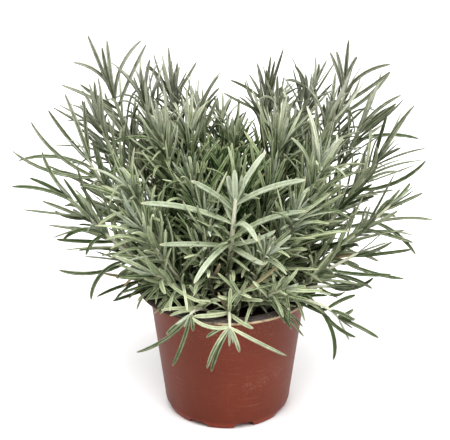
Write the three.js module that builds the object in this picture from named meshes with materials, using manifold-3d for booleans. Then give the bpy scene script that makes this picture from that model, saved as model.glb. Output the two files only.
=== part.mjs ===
// A young shrubby everlasting in a terracotta-coloured plastic nursery pot.
// Millimetres, +Z up. The origin lies on the floor that the pot stands on, under the middle of
// the plant's outline. The viewer's side is -Y. The pieces are built round the pot's axis, and
// compass angles are degrees round it, 0 at +X. The group then moves them to the origin.

import * as THREE from 'three';
import { mergeVertices } from 'three/addons/utils/BufferGeometryUtils.js';
import Module from 'manifold-3d';

const wasm = await Module();
wasm.setup();

// The pot's axis from the middle of the plant's outline
const OUTLINE_SHIFT_X = 3.7;
const OUTLINE_SHIFT_Y = -7.9;

// Pot
const POT_HEIGHT = 80;
const LIP_RADIUS = 52.5;
const LIP_THICKNESS = 1.1;
const LIP_TURN_DOWN = 1.6;
const LIP_EDGE_WIDTH = 0.9;
const WALL_TOP_RADIUS = 46.4;
const WALL_SHOULDER_RADIUS = 44.0;
const WALL_SHOULDER_HEIGHT = 62;
const WALL_FOOT_RADIUS = 37.2;
const WALL_FOOT_HEIGHT = 7.5;
const WALL_THICKNESS = 1.0;
const STANDING_RADIUS = 34.6;
const FOOT_INNER_RADIUS = 29.5;
const FLOOR_UNDERSIDE = 4.2;
const FLOOR_TOP = 5.4;
const POT_SIDES = 32;
const SOIL_SIDES = 30;

// Notches between the eight feet, alternately deep and shallow
const FOOT_COUNT = 8;
const FIRST_NOTCH_ANGLE = -74;
const NOTCH_WIDTH = 11.5;
const NOTCH_DEPTHS = [4.2, 3.4];
const NOTCH_LENGTH = 14;
const DRAIN_RADIUS = 1.8;
const DRAIN_CIRCLE_RADIUS = 23;

// Soil
const SOIL_TOP = 72;
const SOIL_GAP = 0.35;

// Stems
const STEM_RADIUS = 1.1;
const STEM_SIDES = 5;
const STEM_SAG = 0.28;
const ROOT_DEPTH = 5;
const ROOT_SPREAD = 30;
const THICK_STEMS = { front_tall: 1.5 };
const HOLE_CLEARANCE = 0.8;
const HOLE_SIDES = 5;
const STEM_DIVISIONS = 60;

// Leaves
const GOLDEN_TURN = 137.508;
const LEAF_STATIONS = 12;
const LEAF_SPACING = 2.1;
const BARE_STEM = 11;
const HALF_WIDTH = 1.25;
const SET_HALF_WIDTH = 0.95;
const WIDE_LEAVES = { front_tall: 1.7, front_trailing: 1.2, front_left_trailing: 1.2 };
const KEEL_DEPTH = 0.95;
const ROOT_SINK = 0.7;
const TIP_KEEL_DEPTH = 0.65;
const BLADE_BENDS = [28, 70];
const SHORTEST_EDGE = 0.004;
const THINNEST_FACE = 0.001;
const BLADE_SHIFTS = [0, 0.07, -0.07, 0.15];
const LEAF_BUDGET = 330;
const TIP_LEAD = 0.3;
const CLEAR_OF_LEAF = 1.9;
const CLEAR_OF_STEM = 1.85;
const CLEAR_OF_SISTER = 1.3;
const SISTER_SHARE = 0.3;
const LIP_CLEAR_HEIGHT = 83;
const LIP_CLEAR_RADIUS = 54;
const SOIL_CLEARANCE = 1.5;

// Shoots: name, compass angle and reach of the tip from the pot's axis, height of the tip
// above the soil, arch (0 straight, more sags outward), leaf length, turn of the root
const SHOOTS = [
  ['left_high', 148, 79, 109, -0.35, 36, 0],
  ['left_high_low', 169, 76, 104, -0.3, 32, 0],
  ['left_upper', 183, 79, 87, -0.2, 36, -6],
  ['left_middle', 193, 89, 69, -0.2, 36, -10],
  ['left_lower', 200, 74, 51, 0, 32, 12],
  ['left_trailing', 195, 63, 29, 0.3, 34, 5],
  ['front_left_low', 228, 63, 36, 0.25, 32, 0],
  ['front_left_trailing', 250, 61, 16, 0.45, 34, 0],
  ['front_trailing', 271, 66, 12, 0.62, 26, 0],
  ['front_tall', 276, 42, 81, -0.1, 32, -14],
  ['front_right_low', 301, 63, 31, 0.2, 20, 0],
  ['front_right_inner', 297, 50, 50, 0.1, 22, 0],
  ['front_left_inner', 246, 37, 44, 0.1, 30, 0],
  ['front_right_trailing', 277, 50, 26, 0.3, 22, 4],
  ['right_trailing', 325, 76, 6, 0.85, 28, -14],
  ['right_low', 335, 66, 18, 0.4, 30, -6],
  ['right_lower', 339, 79, 40, 0, 32, 5],
  ['right_middle', 351, 93, 63, -0.1, 32, 0],
  ['right_upper', 5, 86, 81, -0.15, 33, 0],
  ['right_high', 29, 78, 112, -0.42, 34, 0],
  ['right_high_inner', 15, 60, 106, -0.35, 32, 0],
  ['right_high_outer', 21, 83, 94, -0.3, 34, 0],
  ['back_crown_right', 68, 62, 99, -0.3, 30, 0],
  ['right_crown_inner', 50, 49, 99, -0.35, 30, 0],
  ['back_right_crown', 49, 73, 102, -0.35, 30, 0],
  ['back_left_crown', 119, 68, 103, -0.35, 30, 0],
  ['left_crown_outer', 138, 66, 106, -0.35, 32, 0],
  ['back_crown_left', 110, 51, 97, -0.3, 30, 0],
  ['back_dip', 94, 58, 84, -0.2, 28, 0],
  ['back_dip_inner', 84, 40, 80, -0.2, 28, 0],
  ['middle', 300, 10, 74, 0, 32, 0],
  ['left_crown_middle', 165, 39, 98, -0.3, 32, 0],
  ['left_crown_inner', 141, 30, 96, -0.3, 30, 0],
  ['right_inner', 340, 56, 90, -0.3, 33, 0],
  ['right_crown_middle', 20, 32, 92, -0.3, 30, 0],
  ['front_left', 223, 64, 62, -0.1, 36, 0],
  ['left_inner', 207, 60, 79, -0.2, 34, 0],
  ['front_right', 318, 50, 66, -0.1, 37, 0],
  ['front_inner', 250, 36, 64, -0.1, 34, -14],
  ['back_right', 60, 80, 60, -0.1, 32, 0],
  ['back', 92, 74, 52, -0.1, 32, 0],
  ['back_left', 125, 80, 62, -0.1, 32, 0],
  ['back_right_low', 72, 67, 20, 0.4, 32, 0],
  ['back_left_low', 108, 67, 22, 0.38, 32, 0],
  ['left_back_low', 154, 74, 36, 0.2, 30, 0],
  ['right_back_low', 30, 80, 36, 0.2, 30, 0],
  ['inner_left', 211, 23, 74, -0.1, 34, 0],
  ['inner_right', 330, 28, 72, -0.1, 34, 0],
  ['inner_back_left', 144, 44, 90, -0.2, 30, 8],
  ['inner_back_right', 36, 46, 90, -0.2, 30, 0],
  ['inner_left_low', 196, 44, 58, -0.1, 34, 0],
  ['inner_right_low', 347, 45, 56, -0.1, 34, 6],
  ['inner_back', 124, 14, 78, -0.1, 28, 0],
];

// Leaves set by hand where one leaf marks the outline or stands out in front:
// share of the stem, compass angle, rise at the foot, rise at the tip, length
const SET_LEAVES = {
  front_tall: [
    [0.77, 195, 35, 5, 56], [0.58, 210, 20, 10, 47], [0.62, 230, 0, -45, 36],
    [0.88, 180, 50, 25, 30], [0.95, 20, 70, 45, 33], [0.93, 350, 40, 10, 43],
    [0.96, 265, 60, 90, 22], [0.73, 300, 60, -45, 30], [0.65, 345, 45, 10, 48],
    [0.58, 305, 0, 5, 31], [0.6, 320, 20, 40, 36], [0.99, 100, 75, 88, 12],
    [0.98, 200, 65, 80, 15], [0.98, 320, 60, 75, 14],
  ],
  left_high: [
    [0.97, 180, 70, 70, 41], [0.97, 115, 70, 80, 34], [0.95, 230, 70, 80, 38],
    [0.95, 0, 95, 40, 43], [0.92, 15, 70, 60, 42], [0.98, 180, 80, 5, 33],
    [0.88, 185, 45, 20, 40], [0.92, 165, 25, 35, 26],
  ],
  left_high_low: [[0.97, 110, 70, 80, 24], [0.95, 225, 45, 70, 24], [0.86, 355, 35, -25, 32]],
  left_upper: [
    [0.95, 180, 75, 70, 46], [0.97, 110, 60, 95, 36], [0.98, 180, 50, 60, 38],
    [0.87, 190, 25, 65, 54], [0.88, 195, 3, 45, 54], [0.93, 170, 30, -25, 46],
    [0.82, 350, 100, -100, 33],
  ],
  left_middle: [
    [0.97, 190, 40, 0, 38], [0.98, 165, 40, 75, 34], [0.92, 170, 45, 15, 34],
    [0.85, 180, -10, 35, 20],
  ],
  left_lower: [
    [0.95, 195, 50, -45, 29], [0.88, 180, 0, 5, 33], [0.97, 215, 10, -75, 18],
    [0.7, 320, -25, -35, 46],
  ],
  front_left_low: [[0.75, 215, -20, -45, 17], [0.78, 325, -30, 5, 30], [0.73, 205, 5, -10, 28]],
  left_trailing: [
    [0.93, 185, -30, 20, 40], [0.97, 205, 0, -90, 32], [0.5, 195, 5, -25, 38],
    [0.42, 210, -5, -5, 34],
  ],
  front_left_trailing: [
    [0.97, 215, -20, -30, 18], [0.96, 195, -55, -10, 38], [0.98, 225, -75, -50, 31],
    [0.95, 280, -40, -70, 10], [0.8, 195, 15, -25, 15],
  ],
  front_trailing: [
    [0.97, 345, -25, -20, 35], [0.98, 320, -50, -75, 15], [0.98, 220, -45, -75, 27],
    [0.96, 225, -25, -70, 27], [0.97, 188, -10, 50, 23], [0.93, 205, -5, -30, 15],
    [0.55, 290, 80, 85, 17], [0.5, 195, 15, 5, 13],
  ],
  front_left_inner: [[0.62, 255, -60, -85, 18]],
  front_right_inner: [
    [0.42, 313, -10, -32, 45], [0.36, 320, 0, -32, 40], [0.5, 308, -15, -40, 38],
    [0.35, 350, 40, 50, 28],
  ],
  front_right_low: [[0.96, 300, -60, -88, 21]],
  front_right_trailing: [
    [0.95, 5, 15, 12, 27], [0.9, 190, 55, 45, 18], [0.98, 230, -10, -50, 9],
    [0.98, 335, -5, -20, 8], [0.98, 150, 60, 50, 8],
  ],
  right_high: [
    [0.98, 0, 90, 85, 33], [0.98, 230, 80, 65, 30], [0.97, 145, 80, 55, 27],
    [0.98, 325, 90, 55, 26], [0.98, 0, 65, 5, 33], [0.93, 345, 35, 45, 36],
    [0.88, 15, 20, 55, 40],
  ],
  right_high_outer: [[0.97, 0, 60, 25, 32], [0.94, 340, 45, 45, 32], [0.9, 350, 30, -15, 39]],
  right_upper: [[0.97, 0, 70, 50, 42], [0.98, 320, 50, 30, 22], [0.8, 345, 5, 55, 47]],
  right_middle: [
    [0.95, 345, 35, 30, 25], [0.97, 35, 25, 45, 20], [0.85, 335, -5, -55, 32],
    [0.78, 335, 0, -10, 30],
  ],
  right_lower: [
    [0.93, 0, 5, 10, 34], [0.83, 345, -20, 0, 36], [0.68, 335, 0, 15, 38],
    [0.92, 340, 20, 40, 27],
  ],
  right_low: [[0.87, 335, 20, 10, 28], [0.97, 15, -30, 40, 27], [0.82, 320, -30, 50, 20]],
  right_trailing: [
    [0.98, 10, 10, 40, 10], [0.98, 345, -15, -30, 26], [0.74, 325, -55, 0, 30],
    [0.7, 320, -25, -105, 38], [0.98, 350, 0, -5, 10], [0.5, 330, -30, -200, 22],
    [0.62, 350, -60, 30, 15], [0.32, 300, 15, -60, 34], [0.88, 320, 10, -15, 17],
    [0.85, 20, 30, 5, 18],
  ],
  left_crown_outer: [[0.97, 255, 60, 90, 24], [0.97, 60, 90, 60, 25]],
  back_left_crown: [
    [0.97, 200, 65, 45, 27], [0.97, 140, 70, 65, 20], [0.97, 280, 70, 60, 20],
    [0.97, 65, 65, 75, 20], [0.95, 0, 60, 60, 28],
  ],
  back_crown_left: [[0.97, 0, 75, 50, 26], [0.95, 325, 65, 45, 26]],
  back_crown_right: [
    [0.97, 180, 50, 20, 26], [0.98, 225, 80, 65, 28], [0.97, 90, 70, 75, 20],
    [0.98, 0, 80, 80, 26], [0.92, 200, 30, 35, 31], [0.92, 220, 40, 75, 30],
  ],
  back_right_crown: [[0.97, 180, 90, 50, 24], [0.97, 210, 90, 0, 25], [0.98, 0, 60, 90, 23]],
};

// The stretches of these stems, as shares of them, that hold set leaves only
const SET_STRETCH = {
  front_tall: [0.56, 1.01],
  front_trailing: [0.6, 0.97],
  front_left_trailing: [0.6, 0.97],
  front_right_trailing: [0.7, 0.98],
  left_high: [0.86, 0.985],
  left_upper: [0.84, 0.985],
  left_middle: [0.86, 0.985],
  left_trailing: [0.5, 0.97],
  right_high: [0.86, 0.985],
  right_trailing: [0.5, 0.98],
  right_low: [0.6, 0.97],
  right_lower: [0.66, 0.97],
  left_lower: [0.6, 0.97],
  right_middle: [0.86, 0.985],
};

// The way that the flat of a set leaf is turned towards
const FACE = new THREE.Vector3(0, -0.5, 0.87);

const potMaterial = new THREE.MeshStandardMaterial({ color: 0x8f4a3a, roughness: 0.5, metalness: 0 });
const soilMaterial = new THREE.MeshStandardMaterial({ color: 0x1d1712, roughness: 0.95, metalness: 0 });
const leafMaterial = new THREE.MeshStandardMaterial({ color: 0x8a9a7e, roughness: 0.85, metalness: 0 });

const degrees = THREE.MathUtils.degToRad;
const mix = THREE.MathUtils.lerp;

function smooth(low, high, x) {
  const t = Math.min(1, Math.max(0, (x - low) / (high - low)));
  return t * t * (3 - 2 * t);
}

// A repeatable row of draws between two values
function draws(seed) {
  let state = seed % 2147483647;
  return (low, high) => {
    state = (state * 16807) % 2147483647;
    return low + ((high - low) * state) / 2147483647;
  };
}

// Solids

function solidOf(geometry) {
  const bare = geometry.clone();
  bare.deleteAttribute('normal');
  bare.deleteAttribute('uv');
  const merged = mergeVertices(bare, 1e-4);
  const positions = merged.attributes.position.array;
  const index = merged.index.array;
  const kept = [];
  for (let i = 0; i < index.length; i += 3) {
    const [a, b, c] = [index[i], index[i + 1], index[i + 2]];
    if (a !== b && b !== c && c !== a) kept.push(a, b, c);
  }
  const build = (triangles) => new wasm.Manifold(new wasm.Mesh({
    numProp: 3,
    vertProperties: new Float32Array(positions),
    triVerts: new Uint32Array(triangles),
  }));
  const solid = build(kept);
  if (solid.volume() > 0) return solid;
  const turned = [];
  for (let i = 0; i < kept.length; i += 3) turned.push(kept[i], kept[i + 2], kept[i + 1]);
  return build(turned);
}

function meshOf(name, solid, material) {
  const result = solid.getMesh();
  const geometry = new THREE.BufferGeometry();
  geometry.setAttribute('position', new THREE.BufferAttribute(new Float32Array(result.vertProperties), 3));
  geometry.setIndex(new THREE.BufferAttribute(new Uint32Array(result.triVerts), 1));
  geometry.computeVertexNormals();
  const mesh = new THREE.Mesh(geometry, material);
  mesh.name = name;
  return mesh;
}

function turned(profile, sides) {
  const points = profile.map(([radius, height]) => new THREE.Vector2(radius, height));
  return new THREE.LatheGeometry(points, sides).rotateX(Math.PI / 2);
}

// Pot: a thin tapered wall with a flat lip and a floor standing on eight low feet
function potSolid() {
  const lipUnderside = POT_HEIGHT - LIP_THICKNESS;
  const innerTop = WALL_TOP_RADIUS - WALL_THICKNESS;
  const profile = [
    [0, FLOOR_UNDERSIDE],
    [FOOT_INNER_RADIUS - 1, FLOOR_UNDERSIDE],
    [FOOT_INNER_RADIUS, 0],
    [STANDING_RADIUS, 0],
    [STANDING_RADIUS + 1.1, 1.4],
    [WALL_FOOT_RADIUS, WALL_FOOT_HEIGHT],
    [WALL_SHOULDER_RADIUS, WALL_SHOULDER_HEIGHT],
    [WALL_TOP_RADIUS, lipUnderside],
    [LIP_RADIUS - LIP_EDGE_WIDTH, POT_HEIGHT - LIP_TURN_DOWN],
    [LIP_RADIUS, POT_HEIGHT - LIP_TURN_DOWN],
    [LIP_RADIUS, POT_HEIGHT - 0.6],
    [LIP_RADIUS - 0.6, POT_HEIGHT],
    [innerTop + 0.8, POT_HEIGHT],
    [innerTop, POT_HEIGHT - 1.2],
    [WALL_SHOULDER_RADIUS - WALL_THICKNESS, WALL_SHOULDER_HEIGHT],
    [WALL_FOOT_RADIUS - WALL_THICKNESS, FLOOR_TOP + 1.2],
    [WALL_FOOT_RADIUS - WALL_THICKNESS - 1.2, FLOOR_TOP],
    [0, FLOOR_TOP],
  ];
  let pot = solidOf(turned(profile, POT_SIDES));
  for (let i = 0; i < FOOT_COUNT; i += 1) {
    const angle = degrees(FIRST_NOTCH_ANGLE + (360 / FOOT_COUNT) * i);
    const depth = NOTCH_DEPTHS[i % NOTCH_DEPTHS.length];
    const half = NOTCH_WIDTH / 2;
    const outline = new THREE.Shape([
      new THREE.Vector2(-half - 0.8, -1),
      new THREE.Vector2(half + 0.8, -1),
      new THREE.Vector2(half - 0.4, depth * 0.6),
      new THREE.Vector2(half - 1.8, depth),
      new THREE.Vector2(1.8 - half, depth),
      new THREE.Vector2(0.4 - half, depth * 0.6),
    ]);
    const notch = new THREE.ExtrudeGeometry(outline, { depth: NOTCH_LENGTH, bevelEnabled: false });
    notch.rotateX(Math.PI / 2).rotateZ(Math.PI / 2).translate(FOOT_INNER_RADIUS - 3, 0, 0);
    notch.rotateZ(angle);
    pot = pot.subtract(solidOf(notch));
    const drain = new THREE.CylinderGeometry(DRAIN_RADIUS, DRAIN_RADIUS, FLOOR_TOP + 2, 8);
    drain.rotateX(Math.PI / 2).translate(DRAIN_CIRCLE_RADIUS, 0, FLOOR_TOP).rotateZ(angle);
    pot = pot.subtract(solidOf(drain));
  }
  return pot;
}

// Stems

function stemCurve([, angle, reach, height, arch, , rootTurn]) {
  const tipAngle = degrees(angle);
  const rootAngle = degrees(angle + rootTurn);
  const lean = Math.atan2(reach, height);
  const rootRadius = ROOT_SPREAD * (lean / (Math.PI / 2)) ** 0.8;
  const root = new THREE.Vector3(
    rootRadius * Math.cos(rootAngle),
    rootRadius * Math.sin(rootAngle),
    SOIL_TOP - ROOT_DEPTH,
  );
  const tip = new THREE.Vector3(reach * Math.cos(tipAngle), reach * Math.sin(tipAngle), SOIL_TOP + height);
  const across = Math.hypot(tip.x - root.x, tip.y - root.y);
  const out = new THREE.Vector3((tip.x - root.x) / across, (tip.y - root.y) / across, 0);
  const chord = root.distanceTo(tip);
  const chordLean = Math.atan2(across, tip.z - root.z);
  const towards = (tilt) => new THREE.Vector3(
    out.x * Math.sin(tilt),
    out.y * Math.sin(tilt),
    Math.cos(tilt),
  );
  const curve = new THREE.CubicBezierCurve3(
    root,
    root.clone().addScaledVector(towards(chordLean * (1 - arch)), chord / 3),
    tip.clone().addScaledVector(towards(chordLean * (1 + arch)), -chord / 3),
    tip,
  );
  curve.arcLengthDivisions = STEM_DIVISIONS;
  return curve;
}

function stepsAlong(curve) {
  const bend = curve.getTangentAt(0).angleTo(curve.getTangentAt(1));
  return Math.max(1, Math.ceil(Math.sqrt((curve.getLength() * bend) / (8 * STEM_SAG))));
}

function regularShape(radius, sides) {
  const corners = [];
  for (let i = 0; i < sides; i += 1) {
    const turn = (2 * Math.PI * i) / sides;
    corners.push(new THREE.Vector2(radius * Math.cos(turn), radius * Math.sin(turn)));
  }
  return new THREE.Shape(corners);
}

function tubeAlong(curve, radius, sides, steps) {
  return new THREE.ExtrudeGeometry(regularShape(radius, sides), {
    steps,
    extrudePath: curve,
    bevelEnabled: false,
  });
}

const stemRadius = ([name]) => THICK_STEMS[name] ?? STEM_RADIUS;

// The plain straight hole that a stem stands in
function stemHole(curve, radius) {
  const foot = curve.getPointAt(0);
  let share = 0;
  while (curve.getPointAt(share).z < SOIL_TOP) share += 0.005;
  const surface = curve.getPointAt(share);
  const run = surface.clone().sub(foot).normalize();
  const line = new THREE.LineCurve3(
    foot.clone().addScaledVector(run, -0.8),
    surface.clone().addScaledVector(run, 3),
  );
  return tubeAlong(line, radius, HOLE_SIDES, 1);
}

// Leaves

// A strap: narrow at its foot, then even, with a point that is blunter on a wide leaf
function halfWidthAt(t, full) {
  if (t >= 1) return 0.12 * full;
  const shoulder = mix(0.5, 0.64, smooth(1.1, 1.6, full));
  const taper = Math.max(0, (t - shoulder) / (1.005 - shoulder)) ** 2.5;
  return full * (0.55 + 0.45 * smooth(0, 0.22, t)) * Math.sqrt(Math.max(0, 1 - taper));
}

// Leaves set round a stem on the golden angle, longer and wider spread down the stem
function ruleLeaves(shoot, order) {
  const [name, compass, , , , leafLength] = shoot;
  const draw = draws(1009 * (order + 1) + 17);
  draw(0, 1);
  draw(0, 1);
  const curve = stemCurve(shoot);
  const total = curve.getLength();
  const start = Math.min(0.5, BARE_STEM / total + 0.04);
  const count = Math.round((total * (1 - start)) / LEAF_SPACING);
  const firstRoll = draw(0, 2 * Math.PI);
  const outside = new THREE.Vector3(Math.cos(degrees(compass)), Math.sin(degrees(compass)), 0);
  const [low, high] = SET_STRETCH[name] ?? [1, 1];
  const leaves = [];
  for (let i = 0; i <= count; i += 1) {
    const f = i / count;
    const where = start + (1 - start) * (1 - (1 - f) ** 1.25);
    const base = curve.getPointAt(where);
    const axis = curve.getTangentAt(where);
    const remain = total * (1 - where);
    const young = 1 - smooth(0, 5, remain);
    const tipward = 1 - smooth(2, 22, remain);
    const old = smooth(0.45, 1, 1 - f);
    const roll = firstRoll + degrees(GOLDEN_TURN) * i + draw(-0.25, 0.25);
    const reference = Math.abs(axis.z) < 0.9 ? new THREE.Vector3(0, 0, 1) : new THREE.Vector3(1, 0, 0);
    const e1 = axis.clone().cross(reference).normalize();
    const e2 = axis.clone().cross(e1);
    const radialAt = (turn) => {
      const across = e1.clone().multiplyScalar(Math.cos(turn));
      return across.addScaledVector(e2, Math.sin(turn));
    };
    const outward = radialAt(roll).dot(outside);
    const length = leafLength * (1 - 0.5 * young - 0.3 * old) * draw(0.7, 1.2);
    const lean = mix(mix(mix(27, 40, old), 22, tipward), 7, young) + 5 * outward + draw(-10, 10);
    const spread = degrees(Math.max(4, lean));
    const recurve = degrees(mix(mix(20, 28, old), 8, young) * draw(-0.9, 2.2));
    const curl = degrees(draw(-45, 45));
    const droop = draw(0, 0.35) * (0.4 + old);
    const frontward = mix(1, 0.8, smooth(-40, 50, base.y));
    const inward = mix(1, 0.8, smooth(35, 65, Math.abs(base.x)));
    const halfWidth = HALF_WIDTH * (1 - 0.3 * young) * draw(0.75, 1.1) * frontward * inward;
    if (where > low && where < high) continue;
    const line = [base.clone()];
    const point = base.clone();
    for (let j = 0; j < LEAF_STATIONS; j += 1) {
      const t = (j + 0.5) / LEAF_STATIONS;
      const angle = spread + recurve * t ** 1.3;
      const step = axis.clone().multiplyScalar(Math.cos(angle));
      step.addScaledVector(radialAt(roll + curl * t), Math.sin(angle)).normalize();
      step.z -= droop * t * t;
      point.addScaledVector(step.normalize(), length / LEAF_STATIONS);
      line.push(point.clone());
    }
    const side = axis.clone().cross(radialAt(roll)).normalize();
    leaves.push({ line, side, halfWidth, order, rank: (i * 0.618034) % 1, tipward });
  }
  return leaves;
}

function setLeaves(shoot, order) {
  const curve = stemCurve(shoot);
  const halfWidth = WIDE_LEAVES[shoot[0]] ?? SET_HALF_WIDTH;
  return (SET_LEAVES[shoot[0]] ?? []).map(([where, compass, footRise, tipRise, length]) => {
    const angle = degrees(compass);
    const towards = (rise) => new THREE.Vector3(
      Math.cos(degrees(rise)) * Math.cos(angle),
      Math.cos(degrees(rise)) * Math.sin(angle),
      Math.sin(degrees(rise)),
    );
    const point = curve.getPointAt(where);
    const line = [point.clone()];
    for (let j = 0; j < LEAF_STATIONS; j += 1) {
      const step = towards(mix(footRise, tipRise, (j + 0.5) / LEAF_STATIONS));
      point.addScaledVector(step, length / LEAF_STATIONS);
      line.push(point.clone());
    }
    const side = FACE.clone().cross(towards((footRise + tipRise) / 2)).normalize();
    return { line, side, halfWidth, order, rank: 0, tipward: 1 };
  });
}

// Points over a blade, close enough together to tell whether two blades would touch
function blankPoints(leaf) {
  const points = [];
  for (let j = 2; j <= 2 * LEAF_STATIONS; j += 1) {
    const low = leaf.line[Math.floor(j / 2)];
    const high = leaf.line[Math.min(LEAF_STATIONS, Math.ceil(j / 2))];
    const middle = low.clone().lerp(high, 0.5);
    const width = halfWidthAt(j / (2 * LEAF_STATIONS), leaf.halfWidth);
    points.push(middle);
    points.push(middle.clone().addScaledVector(leaf.side, width));
    points.push(middle.clone().addScaledVector(leaf.side, -width));
  }
  return points;
}

function clearOfPot(leaf) {
  return leaf.points.every((point) => {
    const radius = Math.hypot(point.x, point.y);
    if (radius < LIP_CLEAR_RADIUS && radius > LIP_RADIUS - 10) return point.z > LIP_CLEAR_HEIGHT;
    return radius > LIP_CLEAR_RADIUS || point.z > SOIL_TOP + SOIL_CLEARANCE;
  });
}

function withBounds(leaf) {
  leaf.points = blankPoints(leaf);
  leaf.middle = leaf.line[LEAF_STATIONS / 2];
  leaf.size = Math.max(...leaf.points.map((point) => point.distanceTo(leaf.middle)));
  return leaf;
}

function bladesTouch(one, other) {
  if (one.middle.distanceTo(other.middle) > one.size + other.size + CLEAR_OF_LEAF) return false;
  const sisters = one.order === other.order;
  const clearance = sisters ? CLEAR_OF_SISTER : CLEAR_OF_LEAF;
  const skipped = sisters ? Math.round(one.points.length * SISTER_SHARE) : 0;
  const limit = clearance * clearance;
  return one.points.some((a, i) => i >= skipped
    && other.points.some((b, j) => j >= skipped && a.distanceToSquared(b) < limit));
}

function touchesStem(leaf, stem) {
  const limit = CLEAR_OF_STEM * CLEAR_OF_STEM;
  return leaf.points.some((a) => stem.some((b) => a.distanceToSquared(b) < limit));
}

// A leaf as a closed blade: flat above, keeled below, blunt at the tip
function bladeSolid(leaf, shift) {
  const bend = leaf.line[1].clone().sub(leaf.line[0]).angleTo(
    leaf.line[LEAF_STATIONS].clone().sub(leaf.line[LEAF_STATIONS - 1]),
  );
  const parts = BLADE_BENDS.filter((limit) => bend > degrees(limit)).length + 2;
  const positions = [];
  for (let k = 0; k <= parts; k += 1) {
    const at = Math.round((LEAF_STATIONS * k) / parts);
    const t = at / LEAF_STATIONS;
    const before = leaf.line[Math.max(0, at - 1)];
    const after = leaf.line[Math.min(LEAF_STATIONS, at + 1)];
    const along = after.clone().sub(before).normalize();
    const side = leaf.side.clone().addScaledVector(along, -leaf.side.dot(along)).normalize();
    const under = side.clone().cross(along);
    const width = halfWidthAt(t, leaf.halfWidth);
    const depth = mix(KEEL_DEPTH, TIP_KEEL_DEPTH, t * t);
    const middle = leaf.line[at].clone().addScaledVector(along, at === 0 ? -ROOT_SINK : 0);
    positions.push(...middle.clone().addScaledVector(side, width).toArray());
    positions.push(...middle.clone().addScaledVector(side, -width).toArray());
    positions.push(...middle.clone().addScaledVector(under, depth).toArray());
  }
  const index = [0, 1, 2];
  for (let k = 0; k < parts; k += 1) {
    for (let c = 0; c < 3; c += 1) {
      const a = 3 * k + c;
      const b = 3 * k + ((c + 1) % 3);
      index.push(a, a + 3, b, b, a + 3, b + 3);
    }
  }
  const last = 3 * parts;
  index.push(last, last + 2, last + 1);
  const geometry = new THREE.BufferGeometry();
  geometry.setAttribute('position', new THREE.Float32BufferAttribute(positions, 3));
  geometry.setIndex(index);
  geometry.translate(0, 0, shift);
  return solidOf(geometry);
}

// Whether the solid is free of very short edges and of very thin faces
function cleanlyJoined(solid) {
  const { vertProperties: at, triVerts: corners } = solid.getMesh();
  const cornerAt = (i) => new THREE.Vector3().fromArray(at, 3 * corners[i]);
  for (let i = 0; i < corners.length; i += 3) {
    const face = new THREE.Triangle(cornerAt(i), cornerAt(i + 1), cornerAt(i + 2));
    const edges = [
      face.a.distanceTo(face.b),
      face.b.distanceTo(face.c),
      face.c.distanceTo(face.a),
    ];
    if (Math.min(...edges) < SHORTEST_EDGE) return false;
    if ((2 * face.getArea()) / Math.max(...edges) < THINNEST_FACE) return false;
  }
  return true;
}

// Joins the blades to their stem one by one. A blade whose joint would leave a sliver is moved
// a hair up or down.
function leafyStem(stem, leaves) {
  return leaves.reduce((solid, leaf) => {
    for (const shift of BLADE_SHIFTS) {
      const next = solid.add(bladeSolid(leaf, shift));
      if (cleanlyJoined(next)) return next;
    }
    return solid;
  }, stem);
}

// The outermost and most telling leaves first, then one more for each shoot in turn
function chooseLeaves(stems) {
  const chosen = SHOOTS.map(() => []);
  const all = [];
  const tryLeaf = (leaf) => {
    withBounds(leaf);
    if (!clearOfPot(leaf)) return false;
    if (stems.some((stem, order) => order !== leaf.order && touchesStem(leaf, stem))) return false;
    if (all.some((other) => bladesTouch(leaf, other))) return false;
    all.push(leaf);
    chosen[leaf.order].push(leaf);
    return true;
  };
  const turnOf = (leaf) => leaf.rank - (leaf.tipward > 0.6 ? TIP_LEAD : 0);
  SHOOTS.forEach((shoot, order) => setLeaves(shoot, order).forEach(tryLeaf));
  const queues = SHOOTS.map((shoot, order) => ruleLeaves(shoot, order)
    .sort((a, b) => turnOf(a) - turnOf(b)));
  while (all.length < LEAF_BUDGET && queues.some((queue) => queue.length > 0)) {
    queues.forEach((queue) => {
      while (queue.length > 0 && all.length < LEAF_BUDGET && !tryLeaf(queue.shift()));
    });
  }
  return chosen;
}

function buildPlant() {
  const group = new THREE.Group();
  group.name = 'potted_everlasting';
  group.position.set(OUTLINE_SHIFT_X, OUTLINE_SHIFT_Y, 0);
  group.add(meshOf('pot', potSolid(), potMaterial));

  const curves = SHOOTS.map(stemCurve);
  const innerTop = WALL_TOP_RADIUS - WALL_THICKNESS - SOIL_GAP;
  const innerFoot = WALL_FOOT_RADIUS - WALL_THICKNESS - SOIL_GAP;
  const innerShoulder = WALL_SHOULDER_RADIUS - WALL_THICKNESS - SOIL_GAP;
  const soilShare = (SOIL_TOP - WALL_SHOULDER_HEIGHT) / (POT_HEIGHT - WALL_SHOULDER_HEIGHT);
  let soil = solidOf(turned([
    [0, FLOOR_TOP + SOIL_GAP],
    [innerFoot - 1.2, FLOOR_TOP + SOIL_GAP],
    [innerFoot, FLOOR_TOP + 1.2 + SOIL_GAP],
    [innerShoulder, WALL_SHOULDER_HEIGHT],
    [mix(innerShoulder, innerTop, soilShare) - 0.2, SOIL_TOP - 0.8],
    [mix(innerShoulder, innerTop, soilShare) - 1.5, SOIL_TOP],
    [0, SOIL_TOP],
  ], SOIL_SIDES));
  curves.forEach((curve, order) => {
    const hole = stemHole(curve, stemRadius(SHOOTS[order]) + HOLE_CLEARANCE);
    soil = soil.subtract(solidOf(hole));
  });
  group.add(meshOf('soil', soil, soilMaterial));

  const chosen = chooseLeaves(curves.map((curve) => curve.getSpacedPoints(40)));
  SHOOTS.forEach((shoot, order) => {
    const steps = stepsAlong(curves[order]);
    const stem = solidOf(tubeAlong(curves[order], stemRadius(shoot), STEM_SIDES, steps));
    group.add(meshOf(`shoot_${shoot[0]}`, leafyStem(stem, chosen[order]), leafMaterial));
  });
  return group;
}

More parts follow.
